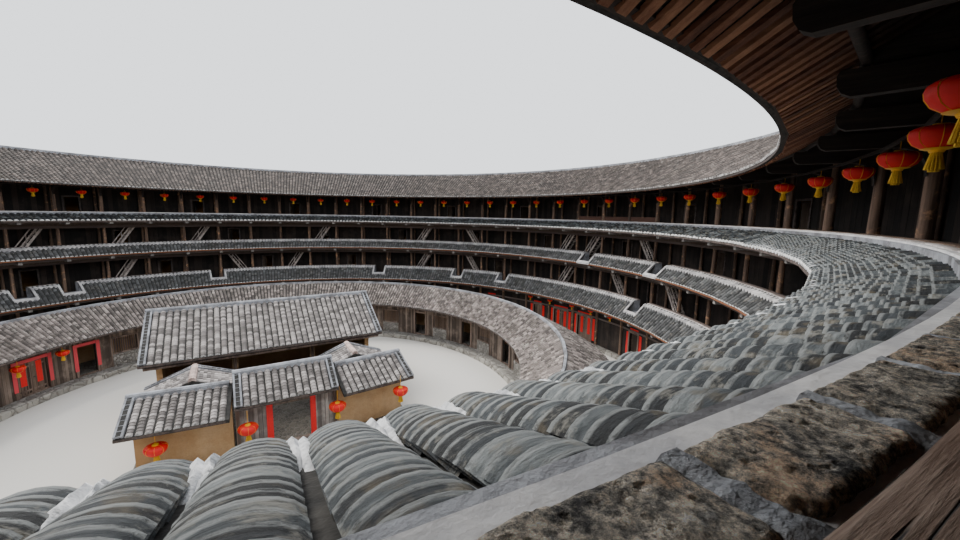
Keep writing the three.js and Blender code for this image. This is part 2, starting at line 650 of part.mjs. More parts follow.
function frontWing(word, side) {
  const t = HALL_WALL_DEPTH;
  const span = wingSpan(side, SEAT, WING_LENGTH);
  const centre = block(CENTRE_SPAN[0] - SEAT, CENTRE_SPAN[1] + SEAT, -BEYOND, 0, 0, TALL);
  const roof = wing(gableRoof(...span, WING_ROOF), side).subtract(centre);
  const wallLine = FRONT_LINE - CENTRE_ROOF.ridge[0];
  const frontBlock = block(...wingSpan(side, SEAT, WING_WALL_LENGTH), wallLine, wallLine + t, 0, TALL);
  const frontWall = wing(frontBlock.intersect(underGable(...span, WING_ROOF)), side).subtract(centre);
  const [x0, x1] = [side * SIDE_LINE, side * (SIDE_LINE - t)].sort((a, b) => a - b);
  const sideHead = Math.min(sideRoofUnderside(SIDE_LINE) - SEAT, SIDE_WALL_HEAD);
  const sideWall = block(x0, x1, FRONT_LINE + 500, MAIN_WALLS[0] - SEAT, HALL_FLOOR + SEAT, sideHead);
  return [
    piece(`front_roof_${word}`, roof, tile),
    piece(`front_wall_${word}`, join([frontWall, sideWall]), earth),
    piece(`side_roof_${word}`, sideRoof(side), tile),
  ];
}

function sideRoof(side) {
  // Short gabled roof between the wing and the main hall, its ridge running front to back.
  const { ridge, span, top, eave, front, back } = SIDE_ROOF;
  const d = HALL_ROOF_DEPTH;
  const shape = new THREE.Shape([[-span, eave], [0, top], [span, eave], [span, eave - d], [0, top - d],
    [-span, eave - d]].map(([x, z]) => new THREE.Vector2(x, z)));
  const geometry = new THREE.ExtrudeGeometry(shape, { depth: back - front, bevelEnabled: false });
  geometry.rotateX(Math.PI / 2);
  geometry.translate(side * ridge, back, 0);
  const underWing = wing(block(-BEYOND, BEYOND, -BEYOND, WING_ROOF.back[0] + SEAT, 0, TALL), side);
  return solid(geometry).subtract(underWing);
}

function hall() {
  const group = new THREE.Group();
  group.rotation.z = HALL_TURN;
  const half = SIDE_LINE + PLATFORM_MARGIN;
  const platform = block(-half, half, FRONT_LINE - PLATFORM_MARGIN, MAIN_WALLS[1] + PLATFORM_MARGIN,
    0, HALL_FLOOR);
  group.add(piece('hall_platform', platform, stone), ...mainHall(), ...frontCentre(),
    ...frontWing('left', -1), ...frontWing('right', 1));
  return group;
}

// Assembly

const house = new THREE.Group();
house.add(
  stonePlinth(),
  ...earthWall(),
  ...gate(),
  piece('ground_floor', rectRing(KERB_EDGE, WALL_INNER - SEAT, 0, GROUND_FLOOR), stone),
  groundWall(),
);
for (const storey of [2, 3, 4]) {
  house.add(...gallery(storey), parapet(storey), apron(storey), roomWall(storey));
}
house.add(...mainRoof(), lanterns(), ...innerRing(), ...hungDoors(), hall());
house.scale.setScalar(MODEL_SCALE);
house.updateMatrixWorld(true);

export default house;
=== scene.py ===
"""Looks of the tulou roundhouse: tiles, mortar, timber, earth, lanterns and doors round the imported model.

Lengths are the real building's, in metres, and each finished mesh is drawn at MODEL_SCALE.
Bays are counted counter-clockwise from the gate bay, 0, at -Y; a post line lies half a bay further on.
Radii are measured to the middle of a bay's flat side. An edge of a roof is a (radius, level).
"""
import math

import bmesh
import bpy
from mathutils import Matrix, Vector, noise


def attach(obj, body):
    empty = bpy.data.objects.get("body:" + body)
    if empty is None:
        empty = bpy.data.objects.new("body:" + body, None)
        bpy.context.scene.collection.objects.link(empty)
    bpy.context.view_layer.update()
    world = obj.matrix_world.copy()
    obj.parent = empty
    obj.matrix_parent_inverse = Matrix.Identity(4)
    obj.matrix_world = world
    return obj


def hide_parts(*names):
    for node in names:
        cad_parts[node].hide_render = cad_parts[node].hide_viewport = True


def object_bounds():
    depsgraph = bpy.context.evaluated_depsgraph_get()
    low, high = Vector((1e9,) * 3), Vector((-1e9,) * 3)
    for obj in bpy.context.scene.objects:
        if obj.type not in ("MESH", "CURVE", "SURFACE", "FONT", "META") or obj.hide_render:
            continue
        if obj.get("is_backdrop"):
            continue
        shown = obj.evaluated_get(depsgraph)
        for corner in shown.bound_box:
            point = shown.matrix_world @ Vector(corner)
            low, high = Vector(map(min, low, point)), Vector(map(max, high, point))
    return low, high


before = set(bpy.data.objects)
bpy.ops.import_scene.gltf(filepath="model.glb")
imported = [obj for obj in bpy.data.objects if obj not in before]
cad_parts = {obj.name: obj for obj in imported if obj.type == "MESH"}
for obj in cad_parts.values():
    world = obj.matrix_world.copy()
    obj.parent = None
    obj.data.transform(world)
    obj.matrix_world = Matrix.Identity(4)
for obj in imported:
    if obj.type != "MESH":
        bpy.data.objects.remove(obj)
CAD_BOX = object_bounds()

# Plan
MODEL_SCALE = 0.5
BAYS = 54
BAY = 2 * math.pi / BAYS
POST_LINE = 0.5
QUARTERS = ("front", "right", "rear", "left")
SIDES = (("left", -1), ("right", 1))

# Storeys
FLOORS = {2: 3.9, 3: 6.68, 4: 9.35}
FLOOR_DEPTH = 0.26
GROUND_FLOOR = 0.25
LEDGES = {2: 4.82, 3: 7.6, 4: 10.1}
LEDGE_INNER = 22.1
POST_RADIUS = 22.81
ROOM_WALL = 24.1
GROUND_WALL = 22.75

# Pent roofs: eave radius, eave level, level at the ledge
APRONS = {2: (21.0, 3.64, 4.74), 3: (21.4, 6.86, 7.52), 4: (20.9, 9.6, 10.04)}
SUNK = {2: 0.0, 3: 0.0, 4: 0.09}  # how far the tiles lie below the solid's upper face
APRON_DEPTH = 0.13
NEAR_ROWS = 8  # tile rows in a bay of the top apron
NEAR_TILES = (52, 60)  # bays where its tiles are modelled finely
LEDGE_TILE_ROWS = 10  # in a bay of the others
NOTCHES = {2: [32.5, 31.5, 27.65, 21.75, 18.35, 16.35, 10.6], 3: [12.7, 9.9], 4: []}
NOTCH_WIDTH = 1.05
NOTCH_REACH = 0.62
CHEEK = 0.13  # width of the mortar round a notch

# Main roof
RIDGE = (24.8, 14.55)
INNER_EAVE = 20.23
EAVE_LEVEL = 12.08
OUTER_EAVE = 30.3
PITCH = (RIDGE[1] - EAVE_LEVEL) / (RIDGE[0] - INNER_EAVE)
ROOF_DEPTH = 0.18

# Inner ring: eave, ridge and back eave
INNER_RING = ((12.7, 2.87), (14.7, 4.3), (17.3, 2.98))

# Under the inner eave
DECK = 0.09  # thickness of the boards below the tiles
ARM_TIP = 20.95
ARM_UNDERSIDE = 11.98
ARM_HEAD = 12.3
ARM_SWEEP = 0.6
ARM_WIDTH = 0.15
PURLIN = 0.065
LANTERN_RADIUS = 22.0
LANTERN_LEVEL = 11.58  # of its middle
LANTERN_SIZE = (0.6, 0.31)  # width and height
# A lantern's outline, as shares of half its width and of its height
LANTERN_PROFILE = ((0.06, -0.5), (0.3, -0.47), (0.58, -0.38), (0.82, -0.22), (0.96, 0.0), (1.0, 0.2),
                   (0.95, 0.36), (0.8, 0.46), (0.55, 0.49), (0.2, 0.5))

# Lanterns in the court: bay, radius, level and size; at the hall: x, y and level
COURT_LANTERNS = [(35.5, 13.15, 2.15, 1.0), (34.1, 13.15, 2.25, 1.0),
                  *((bay, 22.3, 3.0, 0.8) for bay in (15.2, 14.35, 13.4, 12.6, 11.8))]
HALL_LANTERNS = [(-4.52, -4.65, 1.63), (-1.57, -4.9, 1.7), (1.92, -4.9, 1.78), (4.89, -4.9, 1.83)]
HALL_LANTERN_SIZE = 1.25

# Ladder stairs: the bays that hold a flight, and which way it climbs
STAIR_RUN = 1.65
STAIR_STEPS = 9
STAIR_WIDTH = 0.62
STAIR_RADIUS = 23.56
STAIR_BAYS = {2: [(30, 1), (27, -1), (25, 1), (20, 1), (18, -1), (14, 1), (12, -1), (10, -1)],
              3: [(32, 1), (30, 1), (28, 1), (24, 1), (20, 1), (18, -1), (14, 1), (13, 1), (11, -1)]}
RAILED_BAYS = (11, 12, 13)  # of the top gallery

# Brick ledge: radii of the mortar strip, the bricks and the old rail behind them
LEDGE_STRIP = (22.15, 22.215)
LEDGE_BRICKS = (22.213, 22.372)
LEDGE_RAIL = (22.39, 22.63)
BRICK_MIDDLE = 22.29
BRICKS_PER_BAY = 6.25
NEAR_BAYS = (52.4, 55.6)  # what lies within arm's reach of the camera
CLOSE_BAYS = (52.85, 53.8)  # the bricks just below it

# Doors and walls at the court's level
INNER_WALL = 13.8
INNER_FLOOR = 0.3
INNER_HEAD = INNER_FLOOR + 1.85
HUNG_DOOR = 34.76  # bay of the inner ring's hung double door
INNER_PARTS = 18  # each has a doorway, and all but the hung door's a window
PAPER_PART = 11  # the one beside the hung door, whose doorway has papers too
GROUND_HEAD = GROUND_FLOOR + 2.0
GROUND_RAIL = 3.3
PAPER_BAYS = (11, 13, 14, 15, 17)
DOUBLE_DOOR = 0.75  # half the width of its opening

# Outer wall
WALL_FOOT = 28.52
WALL_HEAD = 28.2
PLINTH_HEIGHT = 1.2
WALL_HEIGHT = 11.4  # of the earth on the plinth
SHUTTERS = 27.24

# Tiles
TILE_RISE = 0.07
TILE_SHARE = 0.8  # of the row's pitch
TILE_LAP = 1.12  # a tile's length, as a share of its course
TILE_LIP = 0.018  # how far a tile's lower end stands above the next one

# Hall: each roof is a front eave, a ridge and a back eave, as (y, level), over a span of x
HALL = Matrix.Rotation(-BAY / 2, 4, "Z")
HALL_LEAN = 0.058  # size of the hall's turn, as a slope
HALL_PITCH = 0.29
HALL_COURSE = 0.145
VERGE = 0.3  # width of the mortared strips at a gable's end
MAIN_ROOF = ((0.33, 3.35), (3.5, 5.2), (6.7, 3.35))
MAIN_SPAN = (-5.66, 5.7)
CENTRE_ROOF = ((-4.9, 2.7), (-3.5, 3.65), (-2.2, 2.8))
CENTRE_SPAN = (-2.0, 2.0)
WING_ROOF = ((-1.6, 2.4), (0.0, 3.25), (1.3, 2.56))
WING_LENGTH = 3.5
WING_TURN = math.radians(6)
SIDE_RIDGE = 3.5  # how far the short roofs' ridges lie from the middle
SIDE_ROOF = ((-1.85, 2.38), (0.0, 3.1), (1.85, 2.38))
SIDE_SPAN = (-2.02, -0.1)
RIDGE_CAP = ((-0.15, -0.1), (-0.13, 0.07), (-0.06, 0.13), (0.06, 0.13), (0.13, 0.07), (0.15, -0.1))
HALL_FRONT = -4.25

# Finishes of the CAD nodes that stay visible
DRESSED = {
    # the pan tiles under the cover tiles are painted near-black as painted shade between the rows
    "pan_tile": ["roof_outer_slope", "apron_2", "apron_3", "inner_roof", "hall_roof", "front_roof_centre",
                 "front_roof_left", "front_roof_right", "side_roof_left", "side_roof_right"],
    "mortar": ["roof_ridge", "parapet_2", "parapet_3", "parapet_4"],
    "low_wall": ["inner_platform"],
    "plank_wall": ["inner_front_wall", "gate_leaf_left", "gate_leaf_right"],
    "hall_earth": ["inner_back_wall", "hall_walls", "front_wall_left", "front_wall_right"],
    "hall_plank": ["front_wall_centre"],
    "court_stone": ["hall_platform"],
    # the room walls are painted nearly black as painted shade inside the galleries
    "dark_plank_wall": ["room_wall_1", "room_wall_2", "room_wall_3", "room_wall_4"],
    "rubble_stone": ["ground_floor", "stone_plinth", "gate_frame"],
    "rammed_earth": ["earth_wall_" + word for word in QUARTERS],
    "door_plank": ["inner_door_left", "inner_door_right", "ground_door_1_left", "ground_door_1_right",
                   "ground_door_2_left", "ground_door_2_right"],
}


# Node trees written as Python expressions

def sign(operation, swapped=False):
    """The method for one arithmetic sign; it is swapped where the socket stands on the right."""
    def apply(self, other):
        return self.nodes.math(operation, *((other, self) if swapped else (self, other)))
    return apply


class Wire:
    """A node socket that takes part in arithmetic."""

    def __init__(self, nodes, socket):
        self.nodes = nodes
        self.socket = socket

    def out(self, name):
        return Wire(self.nodes, pick(self.socket.node.outputs, name))

    __add__ = sign("ADD")
    __radd__ = sign("ADD", True)
    __sub__ = sign("SUBTRACT")
    __rsub__ = sign("SUBTRACT", True)
    __mul__ = sign("MULTIPLY")
    __rmul__ = sign("MULTIPLY", True)
    __truediv__ = sign("DIVIDE")
    __rtruediv__ = sign("DIVIDE", True)
    __lt__ = sign("LESS_THAN")
    __gt__ = sign("GREATER_THAN")


def pick(sockets, key):
    if isinstance(key, int):
        return sockets[key]
    return next(s for s in sockets if s.name == key and s.enabled)


class Nodes:
    """A node tree with one way to add a node."""

    def __init__(self, tree):
        self.tree = tree

    def add(self, kind, settings=None, inputs=None, output=0):
        node = self.tree.nodes.new(kind)
        for key, value in (settings or {}).items():
            if key == "stops":
                self.set_stops(node.color_ramp.elements, value)
            else:
                setattr(node, key, value)
        for key, value in (inputs or {}).items():
            socket = pick(node.inputs, key)
            if isinstance(value, Wire):
                self.tree.links.new(value.socket, socket)
            else:
                socket.default_value = value
        return Wire(self, pick(node.outputs, output)) if len(node.outputs) else node

    @staticmethod
    def set_stops(elements, stops):
        while len(elements) < len(stops):
            elements.new(1.0)
        for element, (position, colour) in zip(elements, stops):
            element.position = position
            element.color = (*colour, 1.0)

    def math(self, operation, *values):
        return self.add("ShaderNodeMath", {"operation": operation}, dict(enumerate(values)))

    def vector(self, x, y, z):
        return self.add("ShaderNodeCombineXYZ", None, {0: x, 1: y, 2: z})

    def parts(self, vector):
        split = self.add("ShaderNodeSeparateXYZ", None, {0: vector})
        return split, split.out("Y"), split.out("Z")


class Surface(Nodes):
    """A material's tree. Places are in real metres."""

    def __init__(self, name):
        self.material = bpy.data.materials.new(name)
        self.material.use_nodes = True
        super().__init__(self.material.node_tree)
        self.tree.nodes.clear()
        point = self.add("ShaderNodeTexCoord", output="Object")
        self.place = self.add("ShaderNodeVectorMath", {"operation": "SCALE"},
                              {0: point, "Scale": 1 / MODEL_SCALE})

    def ring_place(self, reach=22):
        """Turns round the ring, the radius, and the place with the ring unrolled at a radius of reach."""
        x, y, z = self.parts(self.place)
        turns = self.math("ARCTAN2", y, x) / (2 * math.pi) + 1.25
        radius = self.math("SQRT", x * x + y * y)
        return turns, radius, self.vector(turns * (2 * math.pi * reach), radius, z)

    def noise(self, scale, detail=3.0, rough=0.55, stretch=(1, 1, 1), place=None):
        stretched = self.add("ShaderNodeVectorMath", {"operation": "MULTIPLY"},
                             {0: place or self.place, 1: stretch})
        return self.add("ShaderNodeTexNoise", None,
                        {"Vector": stretched, "Scale": scale, "Detail": detail, "Roughness": rough})

    def cells(self, scale, feature="F1", output="Distance"):
        return self.add("ShaderNodeTexVoronoi", {"feature": feature},
                        {"Vector": self.place, "Scale": scale}, output)

    def chance(self, number):
        return self.add("ShaderNodeTexWhiteNoise", {"noise_dimensions": "1D"}, {"W": number})

    def attribute(self, name):
        return self.add("ShaderNodeAttribute", {"attribute_name": name}, output="Fac")

    def mask(self, value, low, high):
        return self.add("ShaderNodeMapRange", {"interpolation_type": "SMOOTHSTEP"},
                        {"Value": value, "From Min": low, "From Max": high})

    def off(self, value, middle):
        """How far a number is from a middle one."""
        return self.math("ABSOLUTE", value - middle)

    def ramp(self, value, *stops):
        return self.add("ShaderNodeValToRGB", {"stops": stops}, {0: value})

    def mix(self, factor, a, b):
        a, b = (v if isinstance(v, Wire) else (*v, 1.0) for v in (a, b))
        return self.add("ShaderNodeMix", {"data_type": "RGBA"}, {0: factor, 6: a, 7: b}, 2)

    def stain(self, colour, value, low, high, share, tint):
        """The colour with a share of a tint where a number passes from low to high."""
        return self.mix(self.mask(value, low, high) * share, colour, tint)

    def shade(self, colour, amount):
        """The colour made darker or lighter by a number."""
        grey = self.vector(amount, amount, amount)
        return self.add("ShaderNodeMix", {"data_type": "RGBA", "blend_type": "MULTIPLY"},
                        {0: 1.0, 6: colour, 7: grey}, 2)

    def bump(self, height, depth, normal=None):
        """Relief whose full height is depth real metres."""
        inputs = {"Height": height, "Distance": depth * MODEL_SCALE, "Strength": 1.0}
        if normal:
            inputs["Normal"] = normal
        return self.add("ShaderNodeBump", None, inputs)

    def finish(self, colour, roughness, normal=None, metallic=0.0):
        inputs = {"Base Color": colour if isinstance(colour, Wire) else (*colour, 1.0),
                  "Roughness": roughness, "Metallic": metallic}
        if normal:
            inputs["Normal"] = normal
        shader = self.add("ShaderNodeBsdfPrincipled", None, inputs)
        self.add("ShaderNodeOutputMaterial", None, {"Surface": shader})
        return self.material


# Finishes

def tile_finish(name, gain, warmth):
    """Grey roof tiles: a tone for each, lichen, and broad brown stains."""
    s = Surface(name)
    grain = s.noise(9, 4, 0.6)
    stops = [(at, tuple(gain * tone * w for w in (1 + warmth, 1.0, 1 - warmth * 0.5)))
             for at, tone in ((0.0, 0.026), (0.35, 0.05), (0.8, 0.08), (1.0, 0.135))]
    colour = s.shade(s.ramp(s.attribute("shade"), *stops), 0.55 + grain * 0.9)
    lichen = s.noise(2.3, 5, 0.7) + grain * 0.3
    colour = s.stain(colour, lichen, 0.68, 0.86, 0.55, (0.235 * gain, 0.215 * gain, 0.19 * gain))
    colour = s.stain(colour, s.noise(0.5, 3), 0.52, 0.75, 0.35, (0.045, 0.037, 0.024))
    return s.finish(colour, 0.75 + grain * 0.2, s.bump(s.noise(30, 4, 0.65), 0.006))


def hall_tile_finish(name):
    """The hall's tiles: lighter, a tone for each, with dark stains."""
    s = Surface(name)
    grain = s.noise(14, 5, 0.65)
    grey = s.ramp(s.attribute("shade"), (0.0, (0.12, 0.107, 0.101)), (0.5, (0.27, 0.243, 0.23)),
                  (1.0, (0.52, 0.475, 0.45)))
    colour = s.stain(s.shade(grey, 0.5 + grain), s.noise(1.1, 4, 0.6), 0.5, 0.75, 0.4, (0.07, 0.063, 0.055))
    return s.finish(colour, 0.85, s.bump(grain, 0.008))


def pan_painted_shade_finish(name):
    """The tiles between the rows of cover tiles, painted nearly black as painted shade in the grooves."""
    s = Surface(name)
    grain = s.noise(7, 4, 0.65)
    # painted shade: the near-black pans stand for the shade between the rows of cover tiles
    colour = s.ramp(grain, (0.3, (0.012, 0.012, 0.012)), (0.75, (0.06, 0.056, 0.05)))
    return s.finish(colour, 0.9, s.bump(grain, 0.02))


def near_tile_finish(name):
    """Slate-grey tiles: a tone for each, brushed across in light and dark, with dust, lichen and moss; the
    lower rims paled by wear and a painted highlight.
    """
    s = Surface(name)
    _, _, place = s.ring_place(21.5)
    brushed = s.noise(30, 4, 0.65, (0.1, 1, 1), place)
    streak = s.noise(75, 3, 0.6, (0.06, 1, 1), place)
    grain = s.noise(150, 5, 0.8)
    slate = s.ramp(s.attribute("shade") * 0.7 + brushed * 0.6 - 0.22, (0.18, (0.007, 0.009, 0.011)),
                   (0.42, (0.026, 0.033, 0.04)), (0.6, (0.06, 0.072, 0.08)), (0.84, (0.24, 0.265, 0.27)))
    colour = s.shade(slate, 0.26 + grain * 0.75 + streak * 0.5)
    colour = s.stain(colour, s.noise(6, 5, 0.65) + streak * 0.35, 0.7, 0.86, 0.6, (0.3, 0.29, 0.25))
    colour = s.stain(colour, s.noise(7, 4), 0.55, 0.68, 0.5, (0.12, 0.095, 0.055))
    # wear and painted highlight: the lower rims are paled, partly as light catching them
    wear_and_highlight = s.attribute("rim") * s.mask(brushed + grain * 0.3, 0.45, 0.7) * 0.75
    colour = s.mix(wear_and_highlight, colour, (0.3, 0.32, 0.32))
    return s.finish(colour, 0.55 + grain * 0.4, s.bump(grain, 0.003, s.bump(brushed + streak * 0.5, 0.012)))


def deck_finish(name):
    """Tile undersides seen in steps between the rafters, painted nearly black as painted shade under the
    roof.
    """
    s = Surface(name)
    _, radius, _ = s.ring_place()
    step = s.math("FRACT", radius * 7)
    grain = s.noise(8, 4, 0.6)
    # painted shade: the near-black tone and the dark-to-light ramp across each step stand for shade on the
    # stepped undersides
    colour = s.shade(s.ramp(grain, (0.3, (0.01, 0.01, 0.01)), (0.8, (0.07, 0.065, 0.06))), 0.4 + step)
    return s.finish(colour, 0.9, s.bump(step + grain * 0.3, 0.02))


def brick_finish(name):
    """Old grey brick: dark crust, brown clay where wear shows it, ochre stains and a rough, pitted face."""
    s = Surface(name)
    crust = s.noise(5.5, 7, 0.65)
    grain = s.mask(s.noise(48, 7, 0.8), 0.3, 0.7)
    fine = s.noise(150, 3, 0.7)
    colour = s.ramp(crust * 0.7 + grain * 0.3, (0.34, (0.07, 0.067, 0.066)), (0.44, (0.26, 0.24, 0.21)),
                    (0.56, (0.52, 0.46, 0.38)), (0.74, (0.85, 0.77, 0.65)))
    colour = s.stain(colour, s.noise(3.6, 4, 0.6) + grain * 0.15, 0.58, 0.74, 0.5, (0.66, 0.42, 0.24))
    colour = s.stain(colour, s.noise(21, 6, 0.8), 0.58, 0.68, 0.4, (0.85, 0.84, 0.81))
    colour = s.shade(colour, 0.55 + grain * 1.2 + fine * 0.7)
    return s.finish(colour, 0.92, s.bump(fine, 0.008, s.bump(grain, 0.018, s.bump(crust, 0.015))))


def old_rail_finish(name):
    """Silvered brown beam with long cracks along the ring."""
    s = Surface(name)
    _, _, place = s.ring_place(22.5)
    grain = s.noise(70, 6, 0.75, (0.05, 1, 1), place)
    board = s.noise(11, 4, 0.6, (0.1, 1, 1), place)
    bent = s.noise(5, 2, 0.5, (0.3, 1, 1), place) * 0.12
    crack = s.mask(s.off(s.noise(21, 2, 0.5, (0.04, 1, 1), place) + bent, 0.56), 0.022, 0.0)
    colour = s.ramp(grain * 0.65 + board * 0.45, (0.34, (0.035, 0.019, 0.011)), (0.48, (0.14, 0.08, 0.05)),
                    (0.62, (0.28, 0.2, 0.15)), (0.8, (0.5, 0.42, 0.35)))
    colour = s.mix(crack, colour, (0.01, 0.006, 0.004))
    return s.finish(colour, 0.7 + grain * 0.25, s.bump(grain * 0.5 - crack, 0.018, s.bump(board, 0.03)))


def lime_finish(name):
    """White lime, brushed upright."""
    s = Surface(name)
    brushed = s.noise(55, 4, 0.7, (1, 1, 0.18))
    patch = s.noise(9, 4, 0.6)
    colour = s.mix(s.mask(patch + brushed * 0.4, 0.5, 0.8), (0.52, 0.54, 0.57), (0.93, 0.94, 0.96))
    return s.finish(colour, 0.9, s.bump(brushed, 0.012, s.bump(patch, 0.02)))


def mortar_finish(name, light, dark, size=5.0, relief=0.012):
    """Mortar, plaster or far brick: two tones in patches."""
    s = Surface(name)
    grain = s.noise(size * 4, 5, 0.7)
    patch = s.noise(size * 0.35, 4, 0.6)
    colour = s.mix(s.mask(patch + grain * 0.35, 0.5, 0.85), dark, light)
    return s.finish(colour, 0.92, s.bump(grain, relief, s.bump(s.noise(size), relief * 1.6)))


def timber_finish(name, dark, light, size=14.0, upright=0.06, wear_and_highlight=None):
    """Wood whose grain is drawn out upright, and where given, patches of another colour that stand for wear
    and a painted warm highlight.
    """
    s = Surface(name)
    stretch = (1, 1, upright)
    grain = s.noise(size, 6, 0.7, stretch)
    streak = s.noise(size * 0.25, 3, 0.5, stretch)
    colour = s.mix(s.mask(grain * 0.6 + streak * 0.5, 0.35, 0.75), dark, light)
    # wear and painted highlight: the patches stand for wear and for warm light on the wood
    if wear_and_highlight:
        colour = s.stain(colour, s.noise(3.5, 4, 0.6), 0.55, 0.72, 0.6, wear_and_highlight)
    return s.finish(colour, 0.6 + grain * 0.3, s.bump(grain, 0.012))


def ring_timber_finish(name, dark, light, stretch):
    """Wood whose grain runs out from the centre, or else along the ring."""
    s = Surface(name)
    _, _, place = s.ring_place()
    grain = s.noise(10, 6, 0.7, stretch, place)
    colour = s.mix(s.mask(grain * 0.75 + s.attribute("shade") * 0.35, 0.3, 0.85), dark, light)
    return s.finish(colour, 0.8, s.bump(grain, 0.01))


def rafter_finish(name):
    """Reddish boards near the eaves, darkened nearly to black farther in as painted shade under the roof."""
    s = Surface(name)
    _, radius, place = s.ring_place(21)
    grain = s.noise(12, 6, 0.75, (1, 0.08, 1), place)
    tone = grain * 0.55 + s.attribute("shade") * 0.3 + s.noise(1.7, 4, 0.6) * 0.25
    colour = s.ramp(tone, (0.3, (0.05, 0.018, 0.01)), (0.5, (0.22, 0.085, 0.045)),
                    (0.72, (0.5, 0.24, 0.13)), (0.9, (0.7, 0.42, 0.26)))
    # painted shade: the boards darken with their depth under the roof
    painted_inward_shade = s.mask(s.off(radius, RIDGE[0]), 4.4, 3.3)
    return s.finish(s.shade(colour, 1.0 - painted_inward_shade * 0.92), 0.8, s.bump(grain, 0.01))


def plank_wall_finish(name, dark, light, planks, ring=True):
    """Upright boards, a number of them to a bay of the ring, or else to a metre of the hall's front."""
    s = Surface(name)
    turns, _, _ = s.ring_place()
    x, y, _ = s.parts(s.place)
    run = turns * (BAYS * planks) if ring else (x + y * HALL_LEAN) * planks
    seam = s.mask(s.off(s.math("FRACT", run), 0.5), 0.5, 0.46)
    grain = s.noise(11, 6, 0.7, (1, 1, 0.06))
    wear = s.mask(s.noise(1.2, 4, 0.6), 0.45, 0.75)
    tone = s.chance(s.math("FLOOR", run)) * 0.5 + grain * 0.6 + wear * 0.4
    colour = s.shade(s.mix(s.mask(tone, 0.3, 1.1), dark, light), 0.15 + seam * 0.85)
    return s.finish(colour, 0.82, s.bump(grain * 0.3 + seam, 0.02))


def earth_finish(name, warm, pale, course):
    """Rammed earth: courses of tamped clay with pebbles and rain streaks."""
    s = Surface(name)
    _, _, z = s.parts(s.place)
    lift = s.math("FRACT", (z + s.noise(0.6, 2) * 0.12) / course)
    joint = s.mask(s.off(lift, 0.5), 0.44, 0.5)
    blotch = s.noise(0.5, 5, 0.62)
    grain = s.noise(16, 5, 0.7)
    rain = s.noise(1.6, 3, 0.6, (1, 1, 0.12))
    colour = s.mix(s.mask(blotch + grain * 0.25, 0.45, 0.85), warm, pale)
    colour = s.mix(joint * 0.4, s.shade(colour, 0.78 + rain * 0.4), (0.3, 0.17, 0.07))
    pebble = s.mask(s.cells(5.5), 0.16, 0.07)
    colour = s.mix(pebble * 0.3, colour, (0.4, 0.33, 0.25))
    return s.finish(colour, 0.95, s.bump(grain * 0.5 + pebble * 0.35 - joint * 0.7 + blotch * 0.5, 0.035))


def stone_finish(name, size, dark, light):
    """Rubble set in mortar."""
    s = Surface(name)
    edge = s.cells(size, "DISTANCE_TO_EDGE")
    tone, _, _ = s.parts(s.cells(size, output="Color"))
    grain = s.noise(14, 5, 0.65)
    colour = s.mix(tone * 0.6 + grain * 0.4, dark, light)
    colour = s.mix(s.mask(edge, 0.07, 0.02), colour, (0.2, 0.185, 0.165))
    return s.finish(colour, 0.9, s.bump(s.mask(edge, 0.0, 0.16) + grain * 0.3, 0.05))


def plain_finish(name, colour, roughness, size=20.0, spread=0.35, relief=0.003, metallic=0.0):
    """One colour, made uneven by a fine grain."""
    s = Surface(name)
    grain = s.noise(size, 4, 0.6)
    tinted = s.shade(s.mix(0.0, colour, colour), 1 - spread / 2 + grain * spread)
    return s.finish(tinted, roughness, s.bump(grain, relief), metallic)


ALONG, OUTWARD = (0.05, 1, 1), (1, 0.07, 1)  # which way the grain of the ring's timber runs

